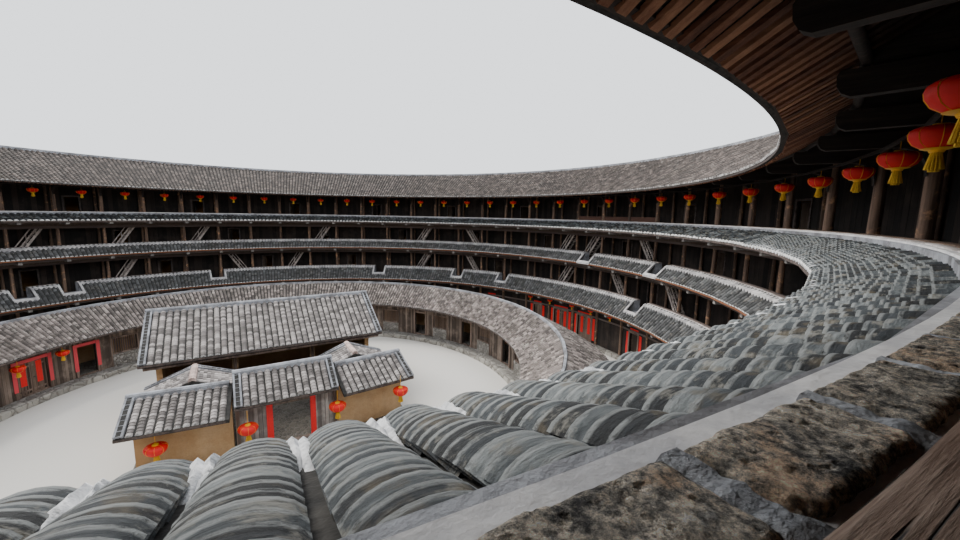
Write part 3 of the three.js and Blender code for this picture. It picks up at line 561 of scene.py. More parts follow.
# By material slot: recipe, name, and the recipe's values
RECIPES = {
    "tile": [
        (tile_finish, "roof_tile", 1.05, 0.26),
        (tile_finish, "ledge_tile", 1.35, -0.02),
        (tile_finish, "inner_ring_tile", 2.9, 0.18),
        (hall_tile_finish, "hall_tile"),
        (near_tile_finish, "near_tile"),
        (pan_painted_shade_finish, "pan_tile"),
        (deck_finish, "deck_underside"),
    ],
    "mortar": [
        (brick_finish, "near_brick"),
        (lime_finish, "lime_fin"),
        (mortar_finish, "mortar", (0.4, 0.415, 0.45), (0.17, 0.17, 0.18)),
        (mortar_finish, "ledge_mortar", (0.92, 0.91, 0.9), (0.6, 0.6, 0.62), 7.0, 0.004),
        (mortar_finish, "joint_mortar", (0.6, 0.62, 0.66), (0.26, 0.27, 0.29), 12.0),
        (mortar_finish, "far_mortar", (0.68, 0.66, 0.65), (0.32, 0.31, 0.32), 6.0),
        (mortar_finish, "pink_mortar", (0.72, 0.56, 0.5), (0.36, 0.27, 0.24), 6.0),
        (mortar_finish, "pale_brick", (0.85, 0.8, 0.78), (0.42, 0.38, 0.36), 6.0),
        (mortar_finish, "plaster_end", (0.95, 0.94, 0.92), (0.62, 0.6, 0.57), 7.0),
        (mortar_finish, "worn_plaster_end", (0.5, 0.48, 0.46), (0.13, 0.12, 0.115), 9.0),
        (mortar_finish, "dull_plaster_end", (0.5, 0.49, 0.47), (0.15, 0.145, 0.14), 9.0),
        (mortar_finish, "limewash", (0.8, 0.77, 0.7), (0.5, 0.44, 0.36), 3.0),
    ],
    "gallery_timber": [
        (ring_timber_finish, "eave_board", (0.03, 0.02, 0.016), (0.15, 0.1, 0.08), ALONG),
        (ring_timber_finish, "old_board", (0.1, 0.045, 0.03), (0.34, 0.17, 0.12), ALONG),
        (ring_timber_finish, "fascia_board", (0.2, 0.075, 0.035), (0.55, 0.25, 0.12), ALONG),
        (ring_timber_finish, "beam_timber", (0.13, 0.1, 0.09), (0.42, 0.35, 0.31), ALONG),
        (ring_timber_finish, "arm_timber", (0.02, 0.015, 0.013), (0.12, 0.085, 0.065), OUTWARD),
        (ring_timber_finish, "floor_board", (0.08, 0.055, 0.042), (0.28, 0.2, 0.155), OUTWARD),
        (old_rail_finish, "old_rail"),
        (rafter_finish, "rafter"),
        (timber_finish, "dark_fascia", (0.03, 0.024, 0.022), (0.16, 0.12, 0.105), 14.0, 1),
        # the posts' warm orange patches are wear and a painted highlight
        (timber_finish, "post_timber", (0.05, 0.03, 0.021), (0.3, 0.19, 0.13), 14.0, 0.06,
         (0.85, 0.45, 0.22)),
        (timber_finish, "beam_end", (0.16, 0.145, 0.14), (0.45, 0.42, 0.39), 8.0, 1),
        (timber_finish, "stair_timber", (0.3, 0.25, 0.23), (0.75, 0.66, 0.6), 6.0, 1),
    ],
    "plank_timber": [
        (timber_finish, "frame_timber", (0.07, 0.048, 0.038), (0.3, 0.22, 0.175), 9.0),
        (plank_wall_finish, "plank_wall", (0.06, 0.043, 0.034), (0.3, 0.235, 0.19), 10),
        (plank_wall_finish, "hall_plank", (0.16, 0.14, 0.13), (0.52, 0.48, 0.45), 6, False),
        (plain_finish, "iron", (0.09, 0.085, 0.08), 0.5, 60.0, 0.5, 0.001, 0.8),
    ],
    "dark_timber": [
        (timber_finish, "window_timber", (0.2, 0.17, 0.15), (0.55, 0.48, 0.42), 9.0, 0.2),
        # painted shade: the room walls' planks are nearly black to stand for the shade inside the galleries
        (plank_wall_finish, "dark_plank_wall", (0.008, 0.006, 0.005), (0.05, 0.034, 0.027), 9),
        (plank_wall_finish, "door_plank", (0.05, 0.034, 0.025), (0.28, 0.2, 0.15), 14),
    ],
    "earth": [
        (earth_finish, "rammed_earth", (0.44, 0.215, 0.07), (0.6, 0.34, 0.14), 0.42),
        (earth_finish, "hall_earth", (0.5, 0.3, 0.14), (0.68, 0.47, 0.27), 3.0),
    ],
    "stone": [
        (stone_finish, "rubble_stone", 2.6, (0.1, 0.095, 0.085), (0.33, 0.31, 0.275)),
        (stone_finish, "kerb_stone", 1.7, (0.17, 0.165, 0.15), (0.5, 0.48, 0.43)),
        (stone_finish, "court_stone", 5.5, (0.05, 0.045, 0.038), (0.2, 0.175, 0.145)),
        (stone_finish, "low_wall", 4.5, (0.13, 0.125, 0.115), (0.42, 0.4, 0.37)),
    ],
    "lantern": [
        (plain_finish, "pink_paper", (0.75, 0.07, 0.09), 0.6, 40.0, 0.3),
        (plain_finish, "red_paper", (0.85, 0.008, 0.01), 0.55),
        (plain_finish, "lantern_red", (0.8, 0.005, 0.003), 0.6, 30.0, 0.15),
        (plain_finish, "lantern_gold", (0.95, 0.5, 0.02), 0.4, 30.0, 0.2),
        (timber_finish, "tassel", (0.6, 0.32, 0.01), (0.98, 0.66, 0.04), 60.0, 0.05),
    ],
}
FINISHES = {name: recipe(name, *values) for rows in RECIPES.values() for recipe, name, *values in rows}
SLOTS = {name: slot for slot, rows in RECIPES.items() for _, name, *_ in rows}


# Mesh building

def bay_frame(bay):
    """x along the ring, y outward, z up, at the centre of the ring; x runs clockwise seen from above."""
    return Matrix.Rotation((bay - BAYS / 2) * BAY, 4, "Z")


def in_bays(length, radius=22):
    """How many bays a length along the ring takes up."""
    return length / (radius * BAY)


NOTCH_HALF = in_bays(NOTCH_WIDTH / 2)


def facet(bay):
    """How much further than the middle of its bay's side a point of the ring lies."""
    return 1 / math.cos((bay - math.floor(bay + 0.5)) * BAY)


def polar(radius, bay, level):
    """A point of the ring by its true radius."""
    angle = bay * BAY - math.pi / 2
    return (radius * math.cos(angle), radius * math.sin(angle), level)


def on_circle(radius, k, count):
    """The k-th of a number of points on a circle."""
    angle = 2 * math.pi * k / count
    return radius * math.cos(angle), radius * math.sin(angle)


def oblong(left, right, low, high):
    """The outline of a rectangle."""
    return [(left, low), (right, low), (right, high), (left, high)]


class Shape:
    """Closed solids gathered into one mesh."""

    def __init__(self):
        self.points = []
        self.faces = []

    def loft(self, rings, at=None, closed=False):
        """Skins a row of equal outlines; the ends are capped unless the row closes on itself."""
        base, count = len(self.points), len(rings[0])
        self.points += [at @ Vector(p) if at else Vector(p) for outline in rings for p in outline]
        for i in range(len(rings) if closed else len(rings) - 1):
            a, b = base + i * count, base + (i + 1) % len(rings) * count
            for k in range(count):
                n = (k + 1) % count
                self.faces.append([a + k, a + n, b + n, b + k])
        if not closed:
            last = base + (len(rings) - 1) * count
            self.faces.append(list(range(base, base + count))[::-1])
            self.faces.append(list(range(last, last + count)))
        return self

    def block(self, low, high, at=None):
        (x0, y0, z0), (x1, y1, z1) = low, high
        return self.loft([[(x, y, z) for x, y in oblong(x0, x1, y0, y1)] for z in (z0, z1)], at)

    def pair(self, low, high, at=None):
        """A block and its mirror image on the other side of x = 0."""
        self.block((-high[0], low[1], low[2]), (-low[0], high[1], high[2]), at)
        return self.block(low, high, at)

    def bar(self, start, end, width, depth, at=None):
        """A straight bar of rectangular section; its depth is measured upright."""
        along = (end - start).normalized()
        side = along.cross(Vector((0, 0, 1))).normalized() * width / 2
        up = side.cross(along).normalized() * depth / 2
        return self.loft([[p - side - up, p + side - up, p + side + up, p - side + up]
                          for p in (start, end)], at)

    def pole(self, start, end, radius, sides=10, at=None, top=None):
        start, end = Vector(start), Vector(end)
        turn = (end - start).to_track_quat("Z", "Y")
        return self.loft([[centre + turn @ Vector((*on_circle(r, k, sides), 0)) for k in range(sides)]
                          for centre, r in ((start, radius), (end, top or radius))], at)

    def ring(self, outline, start=0.0, end=float(BAYS)):
        """An outline of (radius, level) points carried round the ring from one bay to another."""
        whole = end - start >= BAYS
        first = math.floor(start + 0.5) + 0.5
        stops = [first + i for i in range(BAYS + 1) if first + i < end - 1e-6]
        stops = stops[:BAYS] if whole else [start] + stops + [end]
        return self.loft([[polar(r * facet(bay + 1e-6), bay, z) for r, z in outline] for bay in stops],
                         closed=whole)

    def round_ring(self, outline, start=0.0, end=float(BAYS), sides=6):
        """The same on a true circle, with a number of sides to each bay."""
        whole = end - start >= BAYS
        count = max(2, math.ceil((end - start) * sides))
        stops = [start + (end - start) * i / count for i in range(count + (not whole))]
        return self.loft([[polar(r, bay, z) for r, z in outline] for bay in stops], closed=whole)

    def mesh(self, at=None, scale=MODEL_SCALE):
        data = bpy.data.meshes.new("shape")
        data.from_pydata([tuple(p) for p in self.points], [], self.faces)
        bm = bmesh.new()
        bm.from_mesh(data)
        bmesh.ops.recalc_face_normals(bm, faces=bm.faces)
        bm.to_mesh(data)
        bm.free()
        data.transform(Matrix.Scale(scale, 4) @ (at or Matrix.Identity(4)))
        return data


def merge(meshes):
    """Several meshes as one."""
    bm = bmesh.new()
    for data in meshes:
        bm.from_mesh(data)
        bpy.data.meshes.remove(data)
    whole = bpy.data.meshes.new("whole")
    bm.to_mesh(whole)
    bm.free()
    return whole


def piece(name, made, finish, smooth=None, slot=None, body="root", replaced=(), at=None):
    """A shape, a mesh or a list of meshes as a finished object of the model."""
    if isinstance(made, Shape):
        made = made.mesh(at)
    elif isinstance(made, list):
        made = merge(made)
    made.name = name
    made.materials.clear()
    made.materials.append(FINISHES[finish])
    if smooth:
        made.shade_smooth()
        made.set_sharp_from_angle(angle=math.radians(smooth))
    obj = bpy.data.objects.new(name, made)
    bpy.context.scene.collection.objects.link(obj)
    slot = slot or SLOTS[finish]
    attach(obj, body)
    if replaced:
        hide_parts(*replaced)


def dress():
    """Gives the CAD nodes better materials."""
    for finish, nodes in DRESSED.items():
        for node in nodes:
            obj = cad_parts[node]
            obj.data.materials.clear()
            obj.data.materials.append(FINISHES[finish])


# Geometry Nodes: rows and courses of one template

class Growth(Nodes):
    """A geometry tree with named inputs."""

    def __init__(self, name, inputs):
        super().__init__(bpy.data.node_groups.new(name, "GeometryNodeTree"))
        for label, kind in COMMON + inputs:
            self.tree.interface.new_socket(label, in_out="INPUT", socket_type="NodeSocket" + kind)
        self.tree.interface.new_socket("Geometry", in_out="OUTPUT", socket_type="NodeSocketGeometry")
        self.given = self.add("NodeGroupInput")
        index = self.add("GeometryNodeInputIndex")
        self.row = self.math("FLOOR", (index + 0.5) / self["Courses"])
        self.course = index - self.row * self["Courses"]

    def __getitem__(self, label):
        return self.given.out(label)

    def random(self, spread, channel):
        """A number between -spread and spread, its own for each point."""
        return self.add("FunctionNodeRandomValue", {"data_type": "FLOAT"},
                        {"Min": -1.0, "Max": 1.0, "Seed": self["Seed"] + channel}, "Value") * spread

    def between(self, share, first, last):
        """A vector part of the way from one input to another."""
        return self.add("ShaderNodeMix", {"data_type": "VECTOR", "clamp_factor": False},
                        {0: share, 4: self[first], 5: self[last]}, 1)

    def scaled(self, vector, amount):
        return self.add("ShaderNodeVectorMath", {"operation": "SCALE"}, {0: vector, "Scale": amount})

    def summed(self, a, b):
        return self.add("ShaderNodeVectorMath", {"operation": "ADD"}, {0: a, 1: b})

    def place(self, position, rotation, size, keep=None):
        """Instances the template on the points and turns them into one mesh."""
        points = self.add("GeometryNodePoints", None,
                          {"Count": self["Rows"] * self["Courses"], "Position": position})
        if keep:
            points = self.add("GeometryNodeDeleteGeometry", {"domain": "POINT"},
                              {"Geometry": points, "Selection": keep < 0.5})
        template = self.add("GeometryNodeObjectInfo", None, {"Object": self["Template"]}, "Geometry")
        turn = self.add("FunctionNodeEulerToRotation", None, {0: rotation})
        copies = self.add("GeometryNodeInstanceOnPoints", None,
                          {"Points": points, "Instance": template, "Rotation": turn, "Scale": size})
        shade = self.add("FunctionNodeRandomValue", {"data_type": "FLOAT"},
                         {"Min": 0.0, "Max": 1.0, "Seed": self["Seed"] + 90}, "Value")
        copies = self.add("GeometryNodeStoreNamedAttribute", {"data_type": "FLOAT", "domain": "INSTANCE"},
                          {"Geometry": copies, "Name": "shade", "Value": shade})
        whole = self.add("GeometryNodeRealizeInstances", None, {0: copies})
        whole = self.add("GeometryNodeSetMaterial", None, {"Geometry": whole, "Material": self["Material"]})
        self.add("NodeGroupOutput", None, {"Geometry": whole})
        return self.tree


COMMON = [("Template", "Object"), ("Rows", "Int"), ("Courses", "Int"), ("Turn", "Vector"),
          ("Loose", "Float"), ("Seed", "Int"), ("Material", "Material")]


def ring_growth(name, gaps=()):
    """Rows round the ring, courses across it. A gap is a bay, half a width and the radius it starts at."""
    g = Growth(name, [("Start", "Float"), ("Step", "Float"), ("Crowding", "Float"), ("First", "Vector"),
                      ("Last", "Vector"), ("First size", "Vector"), ("Last size", "Vector")])
    share = g.math("POWER", g.course / g["Courses"], g["Crowding"])
    bay = g["Start"] + g.row * g["Step"]
    radius, _, level = g.parts(g.between(share, "First", "Last"))
    reach = radius / g.math("COSINE", (bay - g.math("FLOOR", bay + 0.5)) * BAY)
    angle = bay * BAY - math.pi / 2
    loose = g["Loose"]
    position = g.vector(reach * g.math("COSINE", angle), reach * g.math("SINE", angle),
                        level + g.random(loose * 0.1, 1))
    tilt, roll, turn = g.parts(g["Turn"])
    rotation = g.vector(tilt + g.random(loose, 2), roll + g.random(loose, 3),
                        angle - math.pi / 2 + turn + g.random(loose, 4))
    keep = None
    for at, half, inside in gaps:
        hit = (g.math("ABSOLUTE", bay - at) < half) * (radius > inside)
        keep = 1 - hit if keep is None else keep * (1 - hit)
    return g.place(position, rotation, g.between(share, "First size", "Last size"), keep)


def field_growth(name):
    """Straight rows and courses on a flat slope."""
    g = Growth(name, [("First", "Vector"), ("Along", "Vector"), ("Up", "Vector"), ("Size", "Vector")])
    loose = g["Loose"]
    position = g.summed(g.summed(g["First"], g.scaled(g["Along"], g.row)), g.scaled(g["Up"], g.course))
    position = g.summed(position, g.vector(0.0, 0.0, g.random(loose * 0.1, 1)))
    wobble = g.vector(g.random(loose, 2), g.random(loose, 3), g.random(loose, 4))
    return g.place(position, g.summed(g["Turn"], wobble), g["Size"])


RING_GROWTH = ring_growth("rows_round_the_ring")
FIELD_GROWTH = field_growth("rows_on_a_slope")


def grow(tree, template, finish, seed, at=None, **values):
    """The mesh that a tree makes of a template. A space in an input's name is given as an underscore."""
    values.update(Template=template, Seed=seed, Material=FINISHES[finish])
    holder = bpy.data.objects.new("growth", bpy.data.meshes.new("growth"))
    bpy.context.scene.collection.objects.link(holder)
    modifier = holder.modifiers.new("grow", "NODES")
    modifier.node_group = tree
    for item in tree.interface.items_tree:
        if item.in_out == "INPUT":
            modifier[item.identifier] = values[item.name.replace(" ", "_")]
    holder.update_tag()
    graph = bpy.context.evaluated_depsgraph_get()
    data = bpy.data.meshes.new_from_object(holder.evaluated_get(graph), depsgraph=graph)
    bpy.data.objects.remove(holder)
    data.transform(Matrix.Scale(MODEL_SCALE, 4) @ (at or Matrix.Identity(4)))
    return data


def grow_ring(template, finish, seed, per_bay, first, last=None, courses=1, size=(1.0, 1.0, 1.0),
              last_size=None, turn=(0.0, 0.0, 0.0), loose=0.0, crowding=1.0, span=(0, BAYS), shift=0.5,
              tree=RING_GROWTH):
    """Rows over a span of bays. The first lies a shift, in rows, behind the span's start."""
    last = last or first
    return grow(tree, template, finish, seed, Start=span[0] + shift / per_bay, Step=1 / per_bay,
                Rows=round((span[1] - span[0]) * per_bay), Courses=courses, First=(first[0], 0.0, first[1]),
                Last=(last[0], 0.0, last[1]), First_size=size, Last_size=last_size or size, Turn=turn,
                Loose=loose, Crowding=crowding)


# Templates: one unit wide, long and high, y pointing up the slope or outward

def template(name, data):
    return bpy.data.objects.new(name, data)


def arch(segments, half_angle=math.radians(72)):
    """Points (x, z) of a shallow arch over a unit base."""
    angles = [half_angle * (2 * k / segments - 1) for k in range(segments + 1)]
    return [(math.sin(a) / math.sin(half_angle) / 2,
             (math.cos(a) - math.cos(half_angle)) / (1 - math.cos(half_angle))) for a in angles]


def tile_template(segments, rings=((0, 1, 0.0), (1, 0.94, 0.0)), **angle):
    """A cover tile: its arched back and closed lower end. A ring is a y, a size and how much wear and
    painted highlight its rim takes.
    """
    outline = arch(segments, **angle)
    n = segments + 1
    points = [(x * share, y, z * share) for y, share, _ in rings for x, z in outline]
    faces = [[row + k, row + k + 1, row + n + k + 1, row + n + k]
             for row in range(0, n * (len(rings) - 1), n) for k in range(segments)]
    data = bpy.data.meshes.new("tile")
    data.from_pydata(points, [], faces + [list(range(n))[::-1]])
    rim = data.attributes.new("rim", "FLOAT", "POINT")
    rim.data.foreach_set("value", [wear_and_highlight for _, _, wear_and_highlight in rings for _ in outline])
    return template("tile_%d" % segments, data)


def plug_template(segments):
    """The plaster that closes a row's lower end: a half-moon that bulges outward."""
    outline = arch(segments)
    n = segments + 1
    points = [(x * wide, y, z * tall) for y, wide, tall in ((1, 1, 1), (0.35, 0.98, 1.02), (0, 0.72, 0.7))
              for x, z in outline]
    faces = [[row + k, row + n + k, row + n + k + 1, row + k + 1] for row in (0, n) for k in range(segments)]
    data = bpy.data.meshes.new("plug")
    data.from_pydata(points, [], faces + [list(range(2 * n, 3 * n))[::-1]])
    return template("plug", data)


TILE = tile_template(4)
HALL_TILE = tile_template(5)
# its first two rings take the rim's wear and painted highlight
FINE_TILE = tile_template(8, ((0.0, 1.0, 1.0), (0.06, 1.0, 1.0), (0.1, 0.995, 0.0), (1.0, 0.94, 0.0)),
                          half_angle=math.radians(64))
PLUG = plug_template(4)
BOX = template("box", Shape().block((-0.5, 0, 0), (0.5, 1, 1)).mesh(scale=1.0))
BRICK = template("brick", Shape().loft(
    [[(x, 0, 0), (x, 0.04, 1 - drop), (x, 0.14, 1 - drop * 0.3), (x, 0.86, 1 - drop * 0.3),
      (x, 0.96, 1 - drop), (x, 1, 0)]
     for x, drop in ((-0.5, 0.45), (-0.46, 0.14), (0.05, 0.1), (0.46, 0.14), (0.5, 0.45))]).mesh(scale=1.0))
ROD = template("rod", Shape().pole((0, 0, 0), (0, 0, 1), 0.53, 12, top=0.42).mesh(scale=1.0))


# Tiled slopes of the ring

def ring_slope(low, high, per_bay, course, seed, finish, rise=TILE_RISE, **rows):
    """Cover tiles from a low edge to a high one."""
    run, climb = abs(high[0] - low[0]), high[1] - low[1]
    length = math.hypot(run, climb)
    courses = max(1, round(length / course))
    tile_length = length / courses * TILE_LAP
    sizes = [(edge[0] * BAY / per_bay * TILE_SHARE, tile_length, rise) for edge in (low, high)]
    tilt = math.atan2(climb, run) - math.atan2(TILE_LIP, tile_length)
    turn = (tilt, 0.0, 0.0 if high[0] > low[0] else math.pi)
    return grow_ring(TILE, finish, seed, per_bay, (low[0], low[1] + TILE_LIP), (high[0], high[1] + TILE_LIP),
                     courses, sizes[0], sizes[1], turn, 0.02, **rows)


def ring_plugs(low, way, per_bay, seed, **rows):
    """The plaster ends at an eave, where way is 1 for an inner eave and -1 for an outer one."""
    size = (low[0] * BAY / per_bay * TILE_SHARE * 1.04, 0.09, TILE_RISE * 1.1)
    return grow_ring(PLUG, "plaster_end", seed, per_bay, (low[0] - way * 0.03, low[1] + 0.005), size=size,
                     turn=(0.25, 0.0, 0.0 if way > 0 else math.pi), loose=0.03, **rows)


def slope_level(radius):
    return RIDGE[1] - PITCH * abs(RIDGE[0] - radius)


def main_roof():
    plugs = []
    for word, way, eave, per_bay, course, seed in (("inner", 1, INNER_EAVE, 10, 0.25, 11),
                                                   ("outer", -1, OUTER_EAVE - 0.07, 11, 0.42, 12)):
        low = (eave, slope_level(eave))
        high = (RIDGE[0] - way * 0.13, slope_level(RIDGE[0] - 0.13))
        tiles = ring_slope(low, high, per_bay, course, seed, "roof_tile")
        piece("roof_%s_tiles" % word, tiles, "roof_tile")
        plugs.append(ring_plugs(low, way, per_bay, seed + 2))
    piece("roof_eave_plaster", plugs, "worn_plaster_end", smooth=50)
    boards = Shape()
    z = slope_level(INNER_EAVE)
    boards.round_ring([(INNER_EAVE + 0.15, z + 0.03), (INNER_EAVE - 0.015, z - 0.02),
                       (INNER_EAVE - 0.015, z - 0.085), (INNER_EAVE + 0.15, z - 0.05)])
    deck = Shape().ring([(INNER_EAVE, z), RIDGE, (RIDGE[0], RIDGE[1] - DECK), (INNER_EAVE, z - DECK)])
    z = slope_level(OUTER_EAVE)
    boards.ring(oblong(OUTER_EAVE - 0.03, OUTER_EAVE - 0.002, z - 0.19, z - 0.02))
    piece("roof_eave_boards", boards, "eave_board")
    piece("roof_inner_deck", deck, "deck_underside", replaced=["roof_inner_slope"])
    caps = grow_ring(TILE, "roof_tile", 15, 9, (RIDGE[0], RIDGE[1] + 0.025), size=(0.26, 0.34, 0.08),
                     turn=(-0.05, 0.0, math.pi / 2), loose=0.03, shift=0.0)
    piece("roof_ridge_tiles", caps, "roof_tile")


def rafters():
    """Flat rafters under both slopes."""
    slope = math.atan(PITCH)
    sides = []
    for eave, head, depth, rows, seed, turn, back, lift in (
            (INNER_EAVE, RIDGE[0] - 0.3, DECK, 11, 21, 0.0, 0.1, 0.03),
            (OUTER_EAVE, 28.3, ROOF_DEPTH, 13, 22, math.pi, -0.05, 0.0)):
        length = abs(head - eave) / math.cos(slope) - 0.05
        foot = (eave + back, slope_level(eave) - depth - 0.05 + lift)
        sides.append(grow_ring(BOX, "rafter", seed, rows, foot, size=(0.115, length, 0.05),
                               turn=(slope, 0.0, turn), loose=0.012))
    piece("roof_rafters", sides, "rafter")


def aprons():
    """The pent roofs below the ledges; the solid of the top one gives way to a deck under its sunk tiles."""
    for storey, (eave, low, high) in APRONS.items():
        fall = (high - low) / (LEDGE_INNER - eave)
        low, high = low - SUNK[storey], high - SUNK[storey]
        head = LEDGE_STRIP[0] + 0.03
        edges = (eave, low), (head, high + fall * (head - LEDGE_INNER))
        gaps = [(bay, NOTCH_HALF + 0.02, LEDGE_INNER - NOTCH_REACH - 0.1) for bay in NOTCHES[storey]]
        if storey == 4:
            finish, per_bay, rows = "near_tile", NEAR_ROWS, {"span": (NEAR_TILES[1], BAYS + NEAR_TILES[0])}
            tree = RING_GROWTH
        else:
            finish, per_bay, rows = "ledge_tile", LEDGE_TILE_ROWS, {}
            tree = ring_growth("rows_apron_%d" % storey, gaps)
        tiles = ring_slope(*edges, per_bay, 0.2, 30 + storey, finish, tree=tree, **rows)
        piece("apron_%d_tiles" % storey, tiles, finish)
        plugs = ring_plugs(edges[0], 1, per_bay, 40 + storey, **rows)
        piece("apron_%d_plaster" % storey, plugs, "plaster_end", smooth=50)
        if storey == 4:
            near_tiles(*edges)
            # the deck takes the pans' painted shade, near-black between the sunk tiles' rows
            deck = Shape().ring([(eave, low), (LEDGE_STRIP[0], high), (LEDGE_STRIP[0], high - 0.05),
                                 (eave, low - 0.05)])
            piece("apron_4_deck", deck, "pan_tile", replaced=["apron_4"])
        fascia = Shape().ring(oblong(eave - 0.035, eave, low - 0.09, low - 0.015))
        piece("apron_%d_fascia" % storey, fascia, "dark_fascia" if storey == 4 else "fascia_board")
        apron_mortar(storey, high, fall)


def apron_mortar(storey, high, fall):
    """The mortar that seals the tiles' upper ends, carried round each light notch."""
    foot, head, ledge = LEDGE_INNER - NOTCH_REACH, LEDGE_STRIP[0], LEDGES[storey]

    def level(radius):
        return high + fall * (radius - LEDGE_INNER)

    def band(inner, outer):
        """A band's section between two radii on the apron."""
        return [(inner, level(inner) - 0.02), (inner, level(inner) + 0.11), (outer, level(outer) + 0.11),
                (outer, level(outer) - 0.02)]

    finish, back, lift = ("ledge_mortar", 0.0, 0.085) if storey == 4 else ("far_mortar", 0.15, 0.125)
    inner = head - back
    mortar = Shape()
    for start, end in ledge_spans(storey):
        mortar.round_ring([(inner, level(inner) - 0.05), (inner, level(inner) + lift),
                           (head + 0.01, ledge + 0.03), (LEDGE_STRIP[1], ledge + 0.034),
                           (LEDGE_STRIP[1], ledge - 0.02), (head, level(head) - 0.05)], start, end)
    cheek = in_bays(CHEEK)
    for bay in NOTCHES[storey]:
        mortar.ring(band(foot - CHEEK, foot - 0.005), bay - NOTCH_HALF - cheek, bay + NOTCH_HALF + cheek)
        for side in (bay - NOTCH_HALF - cheek, bay + NOTCH_HALF):
            mortar.ring(band(foot - 0.005, head - 0.14), side, side + cheek)
    piece("apron_%d_mortar" % storey, mortar, finish, smooth=40)


def ledge_spans(storey):
    """The stretches of a ledge between its light notches, as pairs of bays."""
    notches = sorted(NOTCHES[storey])
    if not notches:
        return [(0.0, float(BAYS))]
    return [(a + NOTCH_HALF, b - NOTCH_HALF) for a, b in zip(notches, notches[1:] + [notches[0] + BAYS])]


def near_tiles(low, high):
    """The top apron's tiles within reach: closer courses, and lime fins that hold each row's end."""
    start, end = NEAR_TILES
    pitch = low[0] * BAY / NEAR_ROWS
    slope = math.atan2(high[1] - low[1], high[0] - low[0])
    courses, length, lip, crowding = 17, 0.24, 0.036, 1.15
    reach = (high[0] - low[0] - length * math.cos(slope)) / (1 - 1 / courses) ** crowding
    last = (low[0] + reach, low[1] + reach * math.tan(slope) + lip)
    tiles = grow_ring(FINE_TILE, "near_tile", 38, NEAR_ROWS, (low[0] - 0.02, low[1] + lip), last, courses,
                      (pitch * 0.88, length, 0.056), (pitch * 0.9, length, 0.054),
                      (slope - math.atan2(lip, length), 0.0, 0.0), 0.025, crowding, NEAR_TILES)
    piece("apron_4_near_tiles", tiles, "near_tile", smooth=35)
    middle = (start + end) / 2
    plugs = [ring_plugs(low, 1, NEAR_ROWS, seed, span=span)
             for seed, span in ((45, (start, middle)), (46, (middle, end)))]
    piece("apron_4_near_plaster", plugs, "plaster_end", smooth=50)
    fins = Shape()
    for i in range((end - start) * NEAR_ROWS):
        bay = start + (i + 0.5) / NEAR_ROWS
        for side in (-1, 1):
            at = bay_frame(bay) @ Matrix.Translation((side * pitch * 0.43, low[0] * facet(bay), low[1]))
            lime_fin(fins, at, slope, i * 2 + side, 40 if bay < start + 2.5 else 12)
    piece("apron_4_near_lime", fins, "lime_fin", smooth=80)


def lime_fin(shape, at, slope, seed, steps):
    """A ragged slip of lime mortar pressed against the side of a row's end tile."""
    length = 0.4 + 0.12 * noise.noise((seed * 1.7, 0.0, 0.0))
    tall = 0.115 + 0.03 * noise.noise((seed * 2.9, 4.0, 0.0))
    rings = []
    for k in range(steps + 1):
        share = k / steps
        y = share * length - 0.03
        torn = noise.fractal(Vector((seed * 3.1, share * 9.0, 0.0)), 0.9, 2.0, 3) * 0.018
        height = max(0.012, tall * (1 - share ** 2.2) * min(1.0, 0.75 + share * 3) + torn * (1 - share))
        base = y * math.tan(slope) - 0.03
        lean = 0.014 * noise.noise((seed * 2.3, share * 3.0, 5.0))
        thick = 0.025 + 0.009 * noise.noise((seed * 1.3, share * 5.0, 9.0))
        rings.append([(-thick * 1.2, y, base), (thick * 1.2, y, base)]
                     + [(thick * x + lean, y, base + height * z)
                        for x, z in ((1, 0.5), (0.75, 0.85), (0, 1), (-0.75, 0.8), (-1, 0.45))])
    shape.loft(rings, at)


def ledges():
    """Bricks on a mortar bed, and the old timber rail behind them."""
    edge, back = LEDGE_STRIP[1] - 0.005, LEDGE_BRICKS[1]
    inner, outer = LEDGE_RAIL
    strips = (("mortar", "ledge_mortar", "far_mortar", None,
               [(edge, -0.02), (edge, 0.034), (back + 0.012, 0.032), (back + 0.02, -0.02)]),
              ("rail", "old_rail", "beam_timber", 50,
               [(inner, -0.06), (inner, 0.045), (inner + 0.015, 0.06), (outer - 0.015, 0.06), (outer, 0.045),
                (outer, -0.3)]))
    for storey, level in LEDGES.items():
        top = storey == 4
        for word, finish, far_finish, smooth, outline in strips:
            strip = Shape()
            for start, end in ledge_spans(storey):
                strip.round_ring([(r, level + z) for r, z in outline], start, end)
            piece("ledge_%d_%s" % (storey, word), strip, finish if top else far_finish, smooth)
        gaps = [(bay, NOTCH_HALF + 0.06, 0.0) for bay in NOTCHES[storey]]
        start, end = (NEAR_BAYS[1], NEAR_BAYS[0] + BAYS) if top else (0.0, float(BAYS))
        per_bay = round((end - start) * BRICKS_PER_BAY) / (end - start)
        size = (BAY * BRICK_MIDDLE / per_bay - 0.028, LEDGE_BRICKS[1] - LEDGE_BRICKS[0], 0.072)
        tree = ring_growth("bricks_%d" % storey, gaps) if gaps else RING_GROWTH
        bricks = grow_ring(BRICK, "pale_brick", 130 + storey, per_bay, (LEDGE_BRICKS[0], level - 0.02),
                           size=size, loose=0.012, span=(start, end), tree=tree)
        piece("ledge_%d_bricks" % storey, bricks, "pale_brick", smooth=60)


def near_bricks():
    """The bricks under the camera: rounded by wear at the edges, and pitted."""
    start, end = NEAR_BAYS
    count = round((end - start) * BRICKS_PER_BAY)
    step = (end - start) / count
    half_joint = in_bays(0.05, BRICK_MIDDLE) / 2
    bricks, joints = Shape(), Shape()
    for i in range(count):
        bay = start + i * step
        cells = (66, 28) if CLOSE_BAYS[0] < bay < CLOSE_BAYS[1] else (20, 8)
        rough_brick(bricks, bay + half_joint, bay + step - half_joint, cells, i)
        mortar_joint(joints, bay, i)
    piece("ledge_near_bricks", bricks, "near_brick", smooth=70)
    piece("ledge_near_joints", joints, "joint_mortar", smooth=60)


